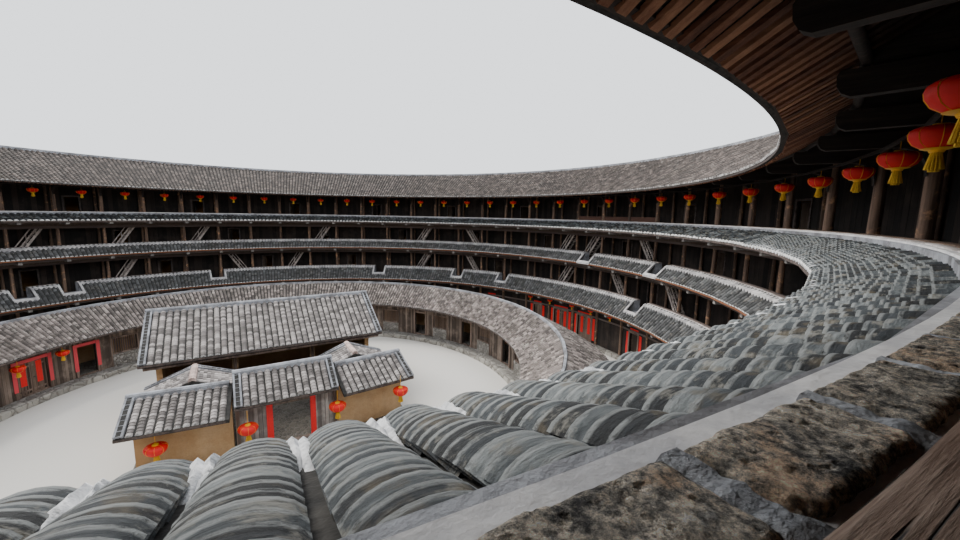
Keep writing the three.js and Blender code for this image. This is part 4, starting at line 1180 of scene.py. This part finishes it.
def mortar_joint(shape, bay, seed):
    """The mortar between two near bricks: nearly flush, and squeezed out in a lump behind them."""
    level, steps, rings = LEDGES[4], 14, []
    inner, outer = LEDGE_STRIP[1] - 0.004, LEDGE_RAIL[0] + 0.004
    for k in range(steps + 1):
        radius = inner + (outer - inner) * k / steps
        lump = max(0.0, radius - LEDGE_BRICKS[1] + 0.012) * 0.9
        rough = [noise.noise((seed * 3.9, k * 0.8, j * 5.0)) for j in range(3)]
        left, right = 0.031 + 0.009 * rough[0] + lump, 0.031 + 0.009 * rough[1] + lump * 1.6
        top = level + 0.047 + 0.007 * rough[2] - lump * 0.5
        rings.append([polar(radius, bay + in_bays(x, BRICK_MIDDLE), z) for x, z in
                      ((-left, level), (-left, top - 0.009), (-left * 0.6, top), (right * 0.6, top),
                       (right, top - 0.009), (right, level))])
    shape.loft(rings)


def rough_brick(shape, start, end, cells, seed):
    """A brick from one bay to another: a number of cells along and across, rounded by wear and pitted by
    noise.
    """
    level, (along, across) = LEDGES[4], cells
    inner, outer = LEDGE_BRICKS
    arc, depth = (end - start) * BAY * BRICK_MIDDLE, outer - inner
    rings = []
    for u in (i / along for i in range(along + 1)):
        bay = start + u * (end - start)
        row = [polar(inner + 0.01, bay, level)]
        for v in (k / across for k in range(across + 1)):
            edge = min(min(u, 1 - u) * arc, min(v, 1 - v) * depth)
            point = Vector((u * arc, v * depth, seed * 3.7))
            swell = noise.fractal(point * 12, 0.9, 2.0, 4) * 0.005
            pit = max(0.0, noise.fractal(point * 38, 0.8, 2.1, 3) - 0.3) * 0.014
            wear = 0.014 * math.exp(-edge / 0.006)
            ragged = noise.noise(point * 26) * 0.009
            row.append(polar(inner + v * depth + ragged * abs(2 * v - 1),
                             bay + in_bays(ragged * (2 * u - 1), BRICK_MIDDLE),
                             level + 0.054 + swell - pit - wear))
        rings.append(row + [polar(outer, bay, level)])
    shape.loft(rings)


def inner_ring():
    """The inner ring's roof."""
    eave, ridge, back = INNER_RING
    tiles = [ring_slope(eave, (ridge[0] - 0.1, ridge[1] - 0.07), 7, 0.2, 51, "inner_ring_tile", 0.085),
             ring_slope(back, (ridge[0] + 0.1, ridge[1] - 0.05), 8, 0.26, 52, "inner_ring_tile", 0.085)]
    piece("inner_roof_tiles", tiles, "inner_ring_tile")
    plugs = [ring_plugs(eave, 1, 7, 53), ring_plugs(back, -1, 8, 54)]
    piece("inner_roof_plaster", plugs, "worn_plaster_end", smooth=50)
    top = ridge[1] + 0.1
    cap = Shape().ring([(ridge[0] - 0.09, ridge[1] - 0.12), (ridge[0] - 0.055, top), (ridge[0] + 0.055, top),
                        (ridge[0] + 0.09, ridge[1] - 0.1)])
    piece("inner_roof_mortar", cap, "mortar")
    fascia = Shape()
    for (r, z), way in ((eave, -1), (back, 1)):
        fascia.ring(oblong(r, r + way * 0.03, z - 0.1, z - 0.015))
    piece("inner_roof_fascia", fascia, "dark_fascia")


def inner_front():
    """The inner ring's front: posts, rail, door frames, window bars, papers and low walls; kerb stones."""
    face, foot, head, sill = INNER_WALL, INNER_FLOOR, INNER_HEAD, INNER_FLOOR + 0.85
    timber, low_walls, papers = Shape(), Shape(), Shape()
    for k in range(INNER_PARTS):
        bay = 0.1 + k * BAYS / INNER_PARTS
        wide = abs(bay - HUNG_DOOR) < 1.5
        at = bay_frame(HUNG_DOOR if wide else bay)
        half = DOUBLE_DOOR if wide else 0.485
        timber.pair((half, face - 0.07, foot), (half + 0.14, face + 0.05, head + 0.95), at)
        timber.block((-half - 0.02, face - 0.05, head), (half + 0.02, face + 0.04, head + 0.13), at)
        timber.block((-half, face + 0.01, foot), (half, face + 0.1, foot + 0.09), at)
        if wide or k == PAPER_PART:
            papers.pair((half, face - 0.076, foot + 0.4), (half + 0.19, face - 0.068, head + 0.18), at)
            papers.block((-half, face - 0.056, head), (half, face - 0.048, head + 0.19), at)
        if wide:
            continue
        at = bay_frame(bay - 1.25)
        timber.pair((0.7, face - 0.06, foot), (0.76, face + 0.05, head + 0.9), at)
        for level in (sill - 0.05, head - 0.02):
            timber.block((-0.72, face - 0.04, level), (0.72, face + 0.12, level + 0.08), at)
        for x in (-0.6 + 0.12 * i for i in range(11)):
            timber.block((x - 0.02, face + 0.03, sill), (x + 0.02, face + 0.07, head), at)
        low_walls.block((-0.7, face - 0.1, foot), (0.7, face + 0.01, sill - 0.05), at)
    piece("inner_front_timber", timber, "frame_timber")
    rail = Shape().ring(oblong(face - 0.06, face + 0.03, head + 0.4, head + 0.52))
    piece("inner_front_rail", rail, "beam_timber", slot="plank_timber")
    piece("inner_low_walls", low_walls, "low_wall")
    piece("inner_door_papers", papers, "pink_paper")
    stones = [grow_ring(BRICK, "kerb_stone", seed, per_bay, (radius, 0.012), size=size, loose=0.012,
                        shift=shift)
              for seed, per_bay, radius, size, shift in ((150, 3, 12.9, (0.49, 0.42, 0.31), 0.51),
                                                         (151, 5, 22.26, (0.5, 0.4, 0.25), 0.5))]
    piece("kerb_stones", stones, "kerb_stone", smooth=50)


def leaf_dress(node, bay, side, front, foot, head):
    """Cover strips, battens, a ring pull and a paper on a hung leaf."""
    at, body = bay_frame(bay), node.replace("door", "leaf")
    strips, pull, paper = Shape(), Shape(), Shape()
    near, far = sorted((side * 0.68, side * 0.045))
    for x in (near + (far - near) * k / 4 for k in range(5)):
        strips.block((x - 0.018, front - 0.012, foot + 0.04), (x + 0.018, front, head - 0.04), at)
    for level in (foot + 0.22, head - 0.3):
        strips.block((near, front - 0.014, level), (far, front, level + 0.09), at)
    x, z = side * 0.12, (foot + head) / 2
    pull.pole((x, front - 0.03, z), (x, front, z), 0.03, 12, at)
    rings, wire = [], 0.007
    for i in range(16):
        a, b = on_circle(1, i - 4, 16)
        centre = Vector((x + 0.045 * a, front - 0.026, z - 0.045 + 0.045 * b))
        across = (Vector((a, 0, b)) * wire, Vector((0, wire, 0)))
        rings.append([centre + across[0], centre + across[1], centre - across[0], centre - across[1]])
    pull.loft(rings, at, closed=True)
    near, far = sorted((side * 0.24, side * 0.52))
    paper.block((near, front - 0.018, foot + 0.55), (far, front - 0.012, head - 0.08), at)
    for word, shape, finish, smooth in (("strips", strips, "frame_timber", None), ("pull", pull, "iron", 40),
                                        ("paper", paper, "red_paper", None)):
        piece("%s_%s" % (node, word), shape, finish, smooth, body=body)


def doors():
    """What the hung leaves carry, and the ground storey's door frames, single leaves and papers."""
    face, foot, head = GROUND_WALL, GROUND_FLOOR, GROUND_HEAD
    for word, side in SIDES:
        leaf_dress("inner_door_" + word, HUNG_DOOR, side, INNER_WALL + 0.08, INNER_FLOOR + 0.01, INNER_HEAD)
        for i, bay in ((1, 14), (2, 13)):
            leaf_dress("ground_door_%d_%s" % (i, word), bay, side, face + 0.13, foot + 0.01, head)
    frames, leaves, papers = Shape(), Shape(), Shape()
    for bay in sorted({*range(1, BAYS, 2), 0, 14}):
        at = bay_frame(bay)
        double = bay in (0, 13, 14)
        half = DOUBLE_DOOR if double else 0.425
        frames.pair((half, face - 0.06, foot), (half + 0.11, face + 0.02, head + 0.12), at)
        frames.block((-half, face - 0.05, head), (half, face + 0.02, head + 0.12), at)
        frames.block((-half, face + 0.02, foot), (half, face + 0.14, foot + 0.08), at)
        if bay in PAPER_BAYS:
            front, back = face - 0.012, face - 0.002
            papers.pair((half + 0.12, front, foot + 0.2), (half + 0.36, back, head + 0.02), at)
            papers.block((-half, front, head + 0.16), (half, back, head + 0.36), at)
        if not double:
            hinge = at @ Matrix.Translation((-half + 0.02, face + 0.17, 0)) @ Matrix.Rotation(0.35, 4, "Z")
            leaves.block((0, -0.02, foot + 0.02), (2 * half - 0.04, 0.02, head - 0.02), hinge)
    posts = grow_ring(BOX, "post_timber", 152, 1, (face - 0.1, foot), size=(0.19, 0.13, 3.25), loose=0.004)
    rails = Shape()
    for level in (head + 0.12, GROUND_RAIL):
        rails.ring(oblong(face - 0.05, face + 0.01, level, level + 0.12))
    piece("ground_posts", posts, "post_timber")
    piece("ground_rails", rails, "beam_timber")
    piece("ground_door_frames", frames, "frame_timber", slot="dark_timber")
    piece("ground_single_doors", leaves, "door_plank")
    piece("ground_papers", papers, "red_paper")


def room_doors():
    """Frames and inward-opened plank leaves in the doorways behind the galleries."""
    frames, leaves = Shape(), Shape()
    inner, outer = ROOM_WALL - 0.04, ROOM_WALL + 0.02
    for storey, floor in FLOORS.items():
        head = floor + 1.9
        for bay in range(storey % 3, BAYS, 3):
            at = bay_frame(bay)
            frames.pair((0.425, inner, floor + 0.001), (0.52, outer, head + 0.1), at)
            frames.block((-0.425, inner, head), (0.425, outer, head + 0.1), at)
            hinge = at @ Matrix.Translation((-0.4, ROOM_WALL + 0.15, 0)) @ Matrix.Rotation(1.2, 4, "Z")
            leaves.block((0, -0.02, floor + 0.02), (0.82, 0.02, head - 0.02), hinge)
    piece("room_door_frames", frames, "dark_fascia", slot="dark_timber")
    piece("room_door_leaves", leaves, "door_plank")


def wall_windows():
    """Limewashed reveals, wooden bars and closed shutters in the outer wall's small windows."""
    surround, timber = Shape(), Shape()
    for storey in (3, 4):
        sill = FLOORS[storey] + 0.95
        lean = WALL_FOOT + (WALL_HEAD - WALL_FOOT) * (sill + 0.4 - PLINTH_HEIGHT) / WALL_HEIGHT
        for bay in range(0, BAYS, 2):
            at = bay_frame(bay)
            surround.pair((0.31, lean - 0.3, sill - 0.1), (0.42, lean + 0.018, sill + 0.9), at)
            for z in (sill - 0.1, sill + 0.8):
                surround.block((-0.31, lean - 0.3, z), (0.31, lean + 0.018, z + 0.1), at)
            timber.pair((0.26, lean - 0.35, sill), (0.31, lean - 0.27, sill + 0.8), at)
            for z in (sill, sill + 0.75):
                timber.block((-0.31, lean - 0.35, z), (0.31, lean - 0.27, z + 0.05), at)
            for x in (-0.18 + 0.09 * i for i in range(5)):
                timber.block((x - 0.015, lean - 0.33, sill), (x + 0.015, lean - 0.3, sill + 0.8), at)
            timber.pair((0.003, SHUTTERS, sill + 0.01), (0.31, SHUTTERS + 0.03, sill + 0.79), at)
    piece("window_surrounds", surround, "limewash")
    piece("window_timber", timber, "window_timber")


# Hall

def slope_field(at, span, low, high, seed):
    """Tiles and eave plaster on a flat slope from a low (y, level) to a high one."""
    run, climb = high[0] - low[0], high[1] - low[1]
    length = math.hypot(run, climb)
    rows, courses = round((span[1] - span[0]) / HALL_PITCH), round(length / HALL_COURSE)
    pitch, step = (span[1] - span[0]) / rows, length / courses
    x, wide = span[0] + pitch / 2, pitch * TILE_SHARE
    turn, out = (0.0, -0.03) if run > 0 else (math.pi, 0.03)
    tilt = math.atan2(climb, abs(run)) - math.atan2(TILE_LIP, step)
    tiles = grow(FIELD_GROWTH, HALL_TILE, "hall_tile", seed, at, Rows=rows, Courses=courses,
                 First=(x, low[0], low[1] + TILE_LIP), Along=(pitch, 0.0, 0.0),
                 Up=(0.0, run / courses, climb / courses), Size=(wide, step * TILE_LAP, TILE_RISE),
                 Turn=(tilt, 0.0, turn), Loose=0.02)
    plugs = grow(FIELD_GROWTH, PLUG, "dull_plaster_end", seed + 1, at, Rows=rows, Courses=1,
                 First=(x, low[0] + out, low[1] + 0.005), Along=(pitch, 0.0, 0.0), Up=(0.0, 0.0, 0.0),
                 Size=(wide * 1.04, 0.09, TILE_RISE * 1.1), Turn=(0.25, 0.0, turn), Loose=0.03)
    return tiles, plugs


def gable(name, at, span, roof, seed, verges=(True, True), ridge_finish="mortar"):
    """Dresses a gabled roof: tiles, plaster ends, ridge and verge strips, fascia."""
    front, ridge, back = roof
    x0, x1 = span
    inner = (x0 + VERGE * verges[0], x1 - VERGE * verges[1])
    fields = [slope_field(at, inner, eave, (ridge[0] + shift, ridge[1] - 0.05), number)
              for eave, shift, number in ((front, -0.08, seed), (back, 0.08, seed + 2))]
    piece(name + "_tiles", [tiles for tiles, _ in fields], "hall_tile")
    piece(name + "_plaster", [plugs for _, plugs in fields], "dull_plaster_end", smooth=50)
    cap = Shape().loft([[(x, ridge[0] + y, ridge[1] + z) for y, z in RIDGE_CAP] for x in span])
    piece(name + "_ridge", cap, ridge_finish, smooth=30, at=at)
    strips, fillers, fascia = Shape(), Shape(), Shape()
    lift = Vector((0, 0, 0.055))
    for y, z in (front, back):
        out = math.copysign(0.03, y - ridge[0])
        near, far = sorted((y, y + out))
        fascia.block((x0, near, z - 0.11), (x1, far, z - 0.015))
        for x, inward, made in ((x0, 1, verges[0]), (x1, -1, verges[1])):
            if not made:
                continue
            start, end = Vector((x, y + out, z)) + lift, Vector((x, *ridge)) + lift
            for shift in (0.045, VERGE - 0.035):
                side = Vector((inward * shift, 0, 0))
                strips.bar(start + side, end + side, 0.07, 0.11)
            middle = Vector((inward * VERGE / 2, 0, 0))
            fillers.bar(start + middle, end + middle, 0.16, 0.09)
            count = max(2, round((end - start).length / 0.22))
            for centre in (start.lerp(end, k / count) + middle for k in range(count + 1)):
                strips.block(centre - Vector((0.11, 0.018, 0)), centre + Vector((0.11, 0.018, 0.052)))
    piece(name + "_mortar", strips, "mortar", at=at)
    # the verge filler takes the pans' painted shade, near-black between the mortar strips
    piece(name + "_verge", fillers, "pan_tile", at=at)
    piece(name + "_fascia", fascia, "dark_fascia", at=at)


def hall():
    gable("hall_roof", HALL, MAIN_SPAN, MAIN_ROOF, 61)
    gable("front_roof_centre", HALL, CENTRE_SPAN, CENTRE_ROOF, 65)
    for word, side in SIDES:
        wing = Matrix.Translation((side * CENTRE_SPAN[1], CENTRE_ROOF[1][0], 0)) \
            @ Matrix.Rotation(side * WING_TURN, 4, "Z")
        span = sorted((side * 0.12, side * WING_LENGTH))
        gable("front_roof_" + word, HALL @ wing, span, WING_ROOF, 71 + 2 * side, (side < 0, side > 0))
        short = Matrix.Translation((side * SIDE_RIDGE, 0, 0)) @ Matrix.Rotation(math.pi / 2, 4, "Z")
        gable("side_roof_" + word, HALL @ short, SIDE_SPAN, SIDE_ROOF, 79 + 2 * side, (False, True),
              "pink_mortar")


def hall_front():
    """The court door's red jambs, the boards beside it, and the timbers under the front eaves."""
    boards, red, timber = Shape(), Shape(), Shape()
    face = HALL_FRONT
    for start, end in ((-1.94, -0.86), (1.1, 1.94)):
        count = round((end - start) / 0.15)
        width = (end - start) / count
        for i in range(count):
            x = start + width * i
            proud = 0.028 + 0.012 * noise.noise((i * 3.3, start, 0.0))
            boards.block((x + 0.006, face - proud, 0.31), (x + width - 0.006, face + 0.01, 2.58), HALL)
    for start, end in ((-0.86, -0.62), (0.88, 1.1)):
        red.block((start, face - 0.07, 0.3), (end, face + 0.05, 2.5), HALL)
    for x0, x1, front, back, low, high in (
            (-2.0, 2.0, 0.08, 0.04, 2.48, 2.64), (-0.62, 0.88, 0.02, 0.1, 2.2, 2.42),
            (-0.86, 1.1, 0.05, 0.2, 0.28, 0.4), (-1.98, -1.84, 0.07, 0.05, 0.3, 2.6),
            (1.86, 2.0, 0.07, 0.05, 0.3, 2.6)):
        timber.block((x0, face - front, low), (x1, face + back, high), HALL)
    for x in (-1.9, 1.9):
        timber.pole((x, 1.33, 0.3), (x, 1.33, 3.25), 0.14, 14, HALL)
    for y, z in ((0.5, 3.1), (0.9, 3.28)):
        timber.pole((-5.5, y, z), (5.5, y, z), 0.08, 10, HALL)
    piece("hall_front_boards", boards, "hall_plank")
    piece("hall_red_jambs", red, "red_paper")
    piece("hall_frame", timber, "frame_timber")


# Galleries

def cut_floor(node):
    """A gallery's floor alone: a copy of the node, cut just under its upper face."""
    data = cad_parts[node].data.copy()
    bm = bmesh.new()
    bm.from_mesh(data)
    bmesh.ops.remove_doubles(bm, verts=bm.verts, dist=1e-5)
    level = FLOORS[int(node[8])] * MODEL_SCALE - 0.0002
    found = bmesh.ops.bisect_plane(bm, geom=bm.verts[:] + bm.edges[:] + bm.faces[:], plane_co=(0, 0, level),
                                   plane_no=(0, 0, 1), clear_outer=True)
    edges = [e for e in found["geom_cut"] if isinstance(e, bmesh.types.BMEdge)]
    bmesh.ops.triangle_fill(bm, edges=edges, use_beauty=True, normal=(0, 0, 1))
    bm.to_mesh(data)
    bm.free()
    return data


def galleries():
    """The galleries' floors, and the posts before them and in the rooms' front walls."""
    for storey, floor in FLOORS.items():
        nodes = ["gallery_%d_%s" % (storey, word) for word in QUARTERS]
        floors = [cut_floor(node) for node in nodes]
        piece("gallery_%d_floor" % storey, floors, "floor_board", replaced=nodes)
        head = FLOORS[storey + 1] - FLOOR_DEPTH if storey < 4 else slope_level(POST_RADIUS) - ROOF_DEPTH
        posts = [grow_ring(ROD, "post_timber", seed + storey, 1, (radius, floor),
                           size=(wide, wide, head - floor - short), loose=0.01)
                 for seed, radius, wide, short in ((80, POST_RADIUS, 0.27 if storey == 4 else 0.23, 0.0),
                                                   (84, ROOM_WALL - 0.11, 0.19, 0.02))]
        piece("gallery_%d_posts" % storey, posts, "post_timber", smooth=40)


def arms():
    """The curved arm on each post of the top gallery, and the round purlins that it carries."""
    inner, tip, under = POST_RADIUS - 0.1, ARM_TIP, ARM_UNDERSIDE
    start, bend, end = Vector((LANTERN_RADIUS + 0.12, under)), Vector((inner, under)), \
        Vector((inner, under - ARM_SWEEP))
    curve = [start.lerp(bend, t / 8).lerp(bend.lerp(end, t / 8), t / 8) for t in range(9)]
    outline = [(inner + 0.02, ARM_HEAD), (tip + 0.03, ARM_HEAD), (tip, 12.24), (tip + 0.01, 12.12),
               (tip + 0.06, 12.03), (tip + 0.15, under), *curve]
    web = [(inner, ARM_HEAD), (tip + 0.3, ARM_HEAD), (tip + 0.3, slope_level(tip + 0.3) - 0.16),
           (inner, slope_level(inner) - 0.16)]
    ribs, purlins = Shape(), Shape()
    for i in range(BAYS):
        at = bay_frame(i + POST_LINE)
        for section, width in ((outline, ARM_WIDTH), (web, 0.09)):
            ribs.loft([[(x, r, z) for r, z in section] for x in (-width / 2, width / 2)], at)
    for radius in (tip + 0.22, 22.0, 22.75):
        level = slope_level(radius) - 0.2
        purlins.ring([(radius + x, level + z) for x, z in (on_circle(PURLIN, k, 10) for k in range(10))])
    piece("gallery_4_arms", ribs, "arm_timber")
    piece("roof_purlins", purlins, "arm_timber", smooth=50)


def stairs():
    """Ladder stairs: two strings, open treads and a handrail."""
    flights, rails = Shape(), Shape()
    half = STAIR_WIDTH / 2
    for storey, places in STAIR_BAYS.items():
        for bay, way in places:
            at = bay_frame(bay)
            foot = Vector((-way * STAIR_RUN / 2, STAIR_RADIUS, FLOORS[storey] + 0.06))
            top = Vector((way * STAIR_RUN / 2, STAIR_RADIUS, FLOORS[storey + 1] - FLOOR_DEPTH + 0.05))
            for side in (-half, half):
                out = Vector((0, side, 0))
                flights.bar(foot + out, top + out, 0.05, 0.14, at)
            for lift, share in ((0.45, 0.8), (0.85, 0.74)):
                out = Vector((0, -half - 0.03, lift))
                flights.bar(foot + out, foot.lerp(top, share) + out, 0.05, 0.06, at)
            for share in (0.04, 0.38, 0.7):
                post = foot.lerp(top, share) + Vector((0, -half - 0.03, 0))
                flights.pole(post, post + Vector((0, 0, 0.85)), 0.024, 8, at)
            for k in range(1, STAIR_STEPS):
                tread = foot.lerp(top, k / STAIR_STEPS)
                flights.block(tread + Vector((-0.1, -half - 0.02, 0.02)),
                              tread + Vector((0.1, half + 0.02, 0.055)), at)
    piece("ladder_stairs", flights, "stair_timber")
    half = POST_RADIUS * math.tan(BAY / 2)
    for bay in RAILED_BAYS:
        for thick, low, high in ((0.025, 0.78, 1.04), (0.04, 1.05, 1.11)):
            rails.block((-half, POST_RADIUS - thick, FLOORS[4] + low),
                        (half, POST_RADIUS + thick, FLOORS[4] + high), bay_frame(bay))
    piece("gallery_4_rail", rails, "old_board")


def lantern_parts():
    """A lantern's cloth, its gold ribs, band and caps, and its tassel, about its middle."""
    width, height = LANTERN_SIZE
    half, foot, sides = width / 2, -height / 2, 32

    def around(radius, level, puff=1.0):
        return [(*on_circle(radius * half * (1.0 if i % 2 else puff), i, sides), level * height)
                for i in range(sides)]

    cloth, gold, tassel = Shape(), Shape(), Shape()
    cloth.loft([around(r, z, 0.97) for r, z in LANTERN_PROFILE])
    for i in range(sides // 4):
        gold.loft([[(r * half * 0.972 + out, x, z * height) for out, x in
                    ((-0.003, -0.005), (0.008, 0.0), (-0.003, 0.005))] for r, z in LANTERN_PROFILE[1:9]],
                  Matrix.Rotation(2 * math.pi * 4 * i / sides, 4, "Z"))
    gold.loft([around(r, z) for r, z in ((0.24, -0.505), (0.4, -0.475), (0.56, -0.425))])
    for start, end, radius, count, top in ((foot - 0.03, foot + 0.01, 0.07, 14, 0.09),
                                           (-foot - 0.01, -foot + 0.03, 0.09, 14, 0.08),
                                           (-foot, -foot + 0.19, 0.008, 6, 0.008)):
        gold.pole((0, 0, start), (0, 0, end), radius, count, top=top)
    tassel.pole((0, 0, foot - 0.1), (0, 0, foot - 0.02), 0.035, 12, top=0.03)
    for radius, count, drop in ((0.045, 9, 0.28), (0.085, 14, 0.25)):
        for i in range(count):
            x, y = on_circle(radius, i + drop, count)
            tassel.pole((x, y, foot - drop), (x * 0.55, y * 0.55, foot - 0.03), 0.016, 5, top=0.011)
    return [("cloth", cloth, "lantern_red"), ("gold", gold, "lantern_gold"), ("tassel", tassel, "tassel")]


def lanterns():
    """The lanterns under the eave with the rail they hang from, and those in the court with their cords."""
    cords, hung = Shape(), []
    places = [(HALL @ Matrix.Translation(place), HALL_LANTERN_SIZE, 0.4, 0.8) for place in HALL_LANTERNS]
    places += [(bay_frame(bay) @ Matrix.Translation((0, radius, level)), size, 0.3, 0.75)
               for bay, radius, level, size in COURT_LANTERNS]
    for at, size, low, high in places:
        cords.pole((0, 0, low), (0, 0, high), 0.01, 6, at)
        hung.append(at @ Matrix.Scale(size, 4))
    piece("court_lantern_cords", cords, "lantern_gold")
    for word, shape, finish in lantern_parts():
        ring = grow_ring(template("lantern_" + word, shape.mesh(scale=1.0)), finish, 140, 1,
                         (LANTERN_RADIUS, LANTERN_LEVEL), span=(POST_LINE, BAYS - POST_LINE))
        replaced = ["lanterns"] if word == "cloth" else ()
        piece("eave_lantern_" + word, ring, finish, smooth=40, replaced=replaced)
        piece("court_lantern_" + word, [shape.mesh(at) for at in hung], finish, smooth=40)
    rail = Shape().ring(oblong(LANTERN_RADIUS - 0.03, LANTERN_RADIUS + 0.03,
                               ARM_UNDERSIDE - 0.06, ARM_UNDERSIDE))
    piece("lantern_rail", rail, "arm_timber")


def beams():
    """Long beams at the posts' heads and the beam ends that carry each apron."""
    long_beams, ends = Shape(), []
    for storey, (eave, low, _) in APRONS.items():
        top = low - APRON_DEPTH - 0.01
        head = FLOORS[storey] - FLOOR_DEPTH
        if storey > 2:
            long_beams.ring(oblong(POST_RADIUS - 0.12, POST_RADIUS - 0.02, head - 0.2, head - 0.01))
        long_beams.ring(oblong(eave + 0.24, eave + 0.4, top - 0.13, top))
        reach = (POST_RADIUS if storey > 2 else GROUND_WALL) - eave - 0.2
        ends.append(grow_ring(BOX, "beam_end", 90 + storey, 1, (eave + 0.14, top - 0.21),
                              size=(0.22, reach, 0.2)))
    piece("gallery_beams", long_beams, "beam_timber")
    piece("apron_beam_ends", ends, "beam_end")


# Stage

CAMERA_PLACE = (-1.504, -11.172, 5.24)
CAMERA_TURN = (35.497, -7.998, 1.018)  # heading, pitch and roll, in degrees
CAMERA_LENS = 14.89
LAMP_WAY = (0.3, -0.66, -0.69)
STUDIO_REACH = 120


def show(name, data):
    obj = bpy.data.objects.new(name, data)
    bpy.context.scene.collection.objects.link(obj)
    return obj


def camera():
    """The photograph's view: from the near ledge, down and to the right of the hall."""
    heading, pitch, roll = (math.radians(a) for a in CAMERA_TURN)
    forward = Vector((math.sin(heading) * math.cos(pitch), math.cos(heading) * math.cos(pitch),
                      math.sin(pitch)))
    right = Vector((math.cos(heading), -math.sin(heading), 0))
    up = right.cross(forward)
    x = math.cos(roll) * right + math.sin(roll) * up
    y = math.cos(roll) * up - math.sin(roll) * right
    lens = bpy.data.cameras.new("photo_camera")
    lens.lens = CAMERA_LENS
    lens.sensor_width = 36
    lens.clip_start = 0.01
    lens.clip_end = 500
    obj = show("photo_camera", lens)
    turn = Matrix((x, y, -forward)).transposed().to_4x4()
    obj.matrix_world = Matrix.Translation(CAMERA_PLACE) @ turn
    bpy.context.scene.camera = obj


def stage():
    """A pale floor, an even cool sky and a soft lamp."""
    reach = STUDIO_REACH
    floor = bpy.data.meshes.new("studio_floor")
    floor.from_pydata([(x, y, 0) for x, y in oblong(-reach, reach, -reach, reach)], [], [[0, 1, 2, 3]])
    floor.materials.append(Surface("studio_floor").finish((0.62, 0.6, 0.56), 0.9))
    obj = show("studio_floor", floor)
    obj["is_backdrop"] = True
    world = bpy.data.worlds.new("studio")
    world.use_nodes = True
    sky = world.node_tree.nodes["Background"]
    sky.inputs[0].default_value = (0.93, 0.96, 1.0, 1.0)
    sky.inputs[1].default_value = 1.9
    bpy.context.scene.world = world
    sun = bpy.data.lights.new("soft_key", "SUN")
    sun.energy = 3.6
    sun.angle = math.radians(25)
    sun.color = (1.0, 0.96, 0.9)
    lamp = show("soft_key", sun)
    lamp.rotation_euler = Vector(LAMP_WAY).to_track_quat("-Z", "Y").to_euler()


for step in (camera, stage, dress, main_roof, rafters, aprons, inner_ring, hall, hall_front, inner_front,
             doors, room_doors, wall_windows, galleries, arms, stairs, beams, ledges, near_bricks, lanterns):
    step()

low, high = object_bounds()
{"cad": [list(CAD_BOX[0]), list(CAD_BOX[1])], "visual": [list(low), list(high)]}
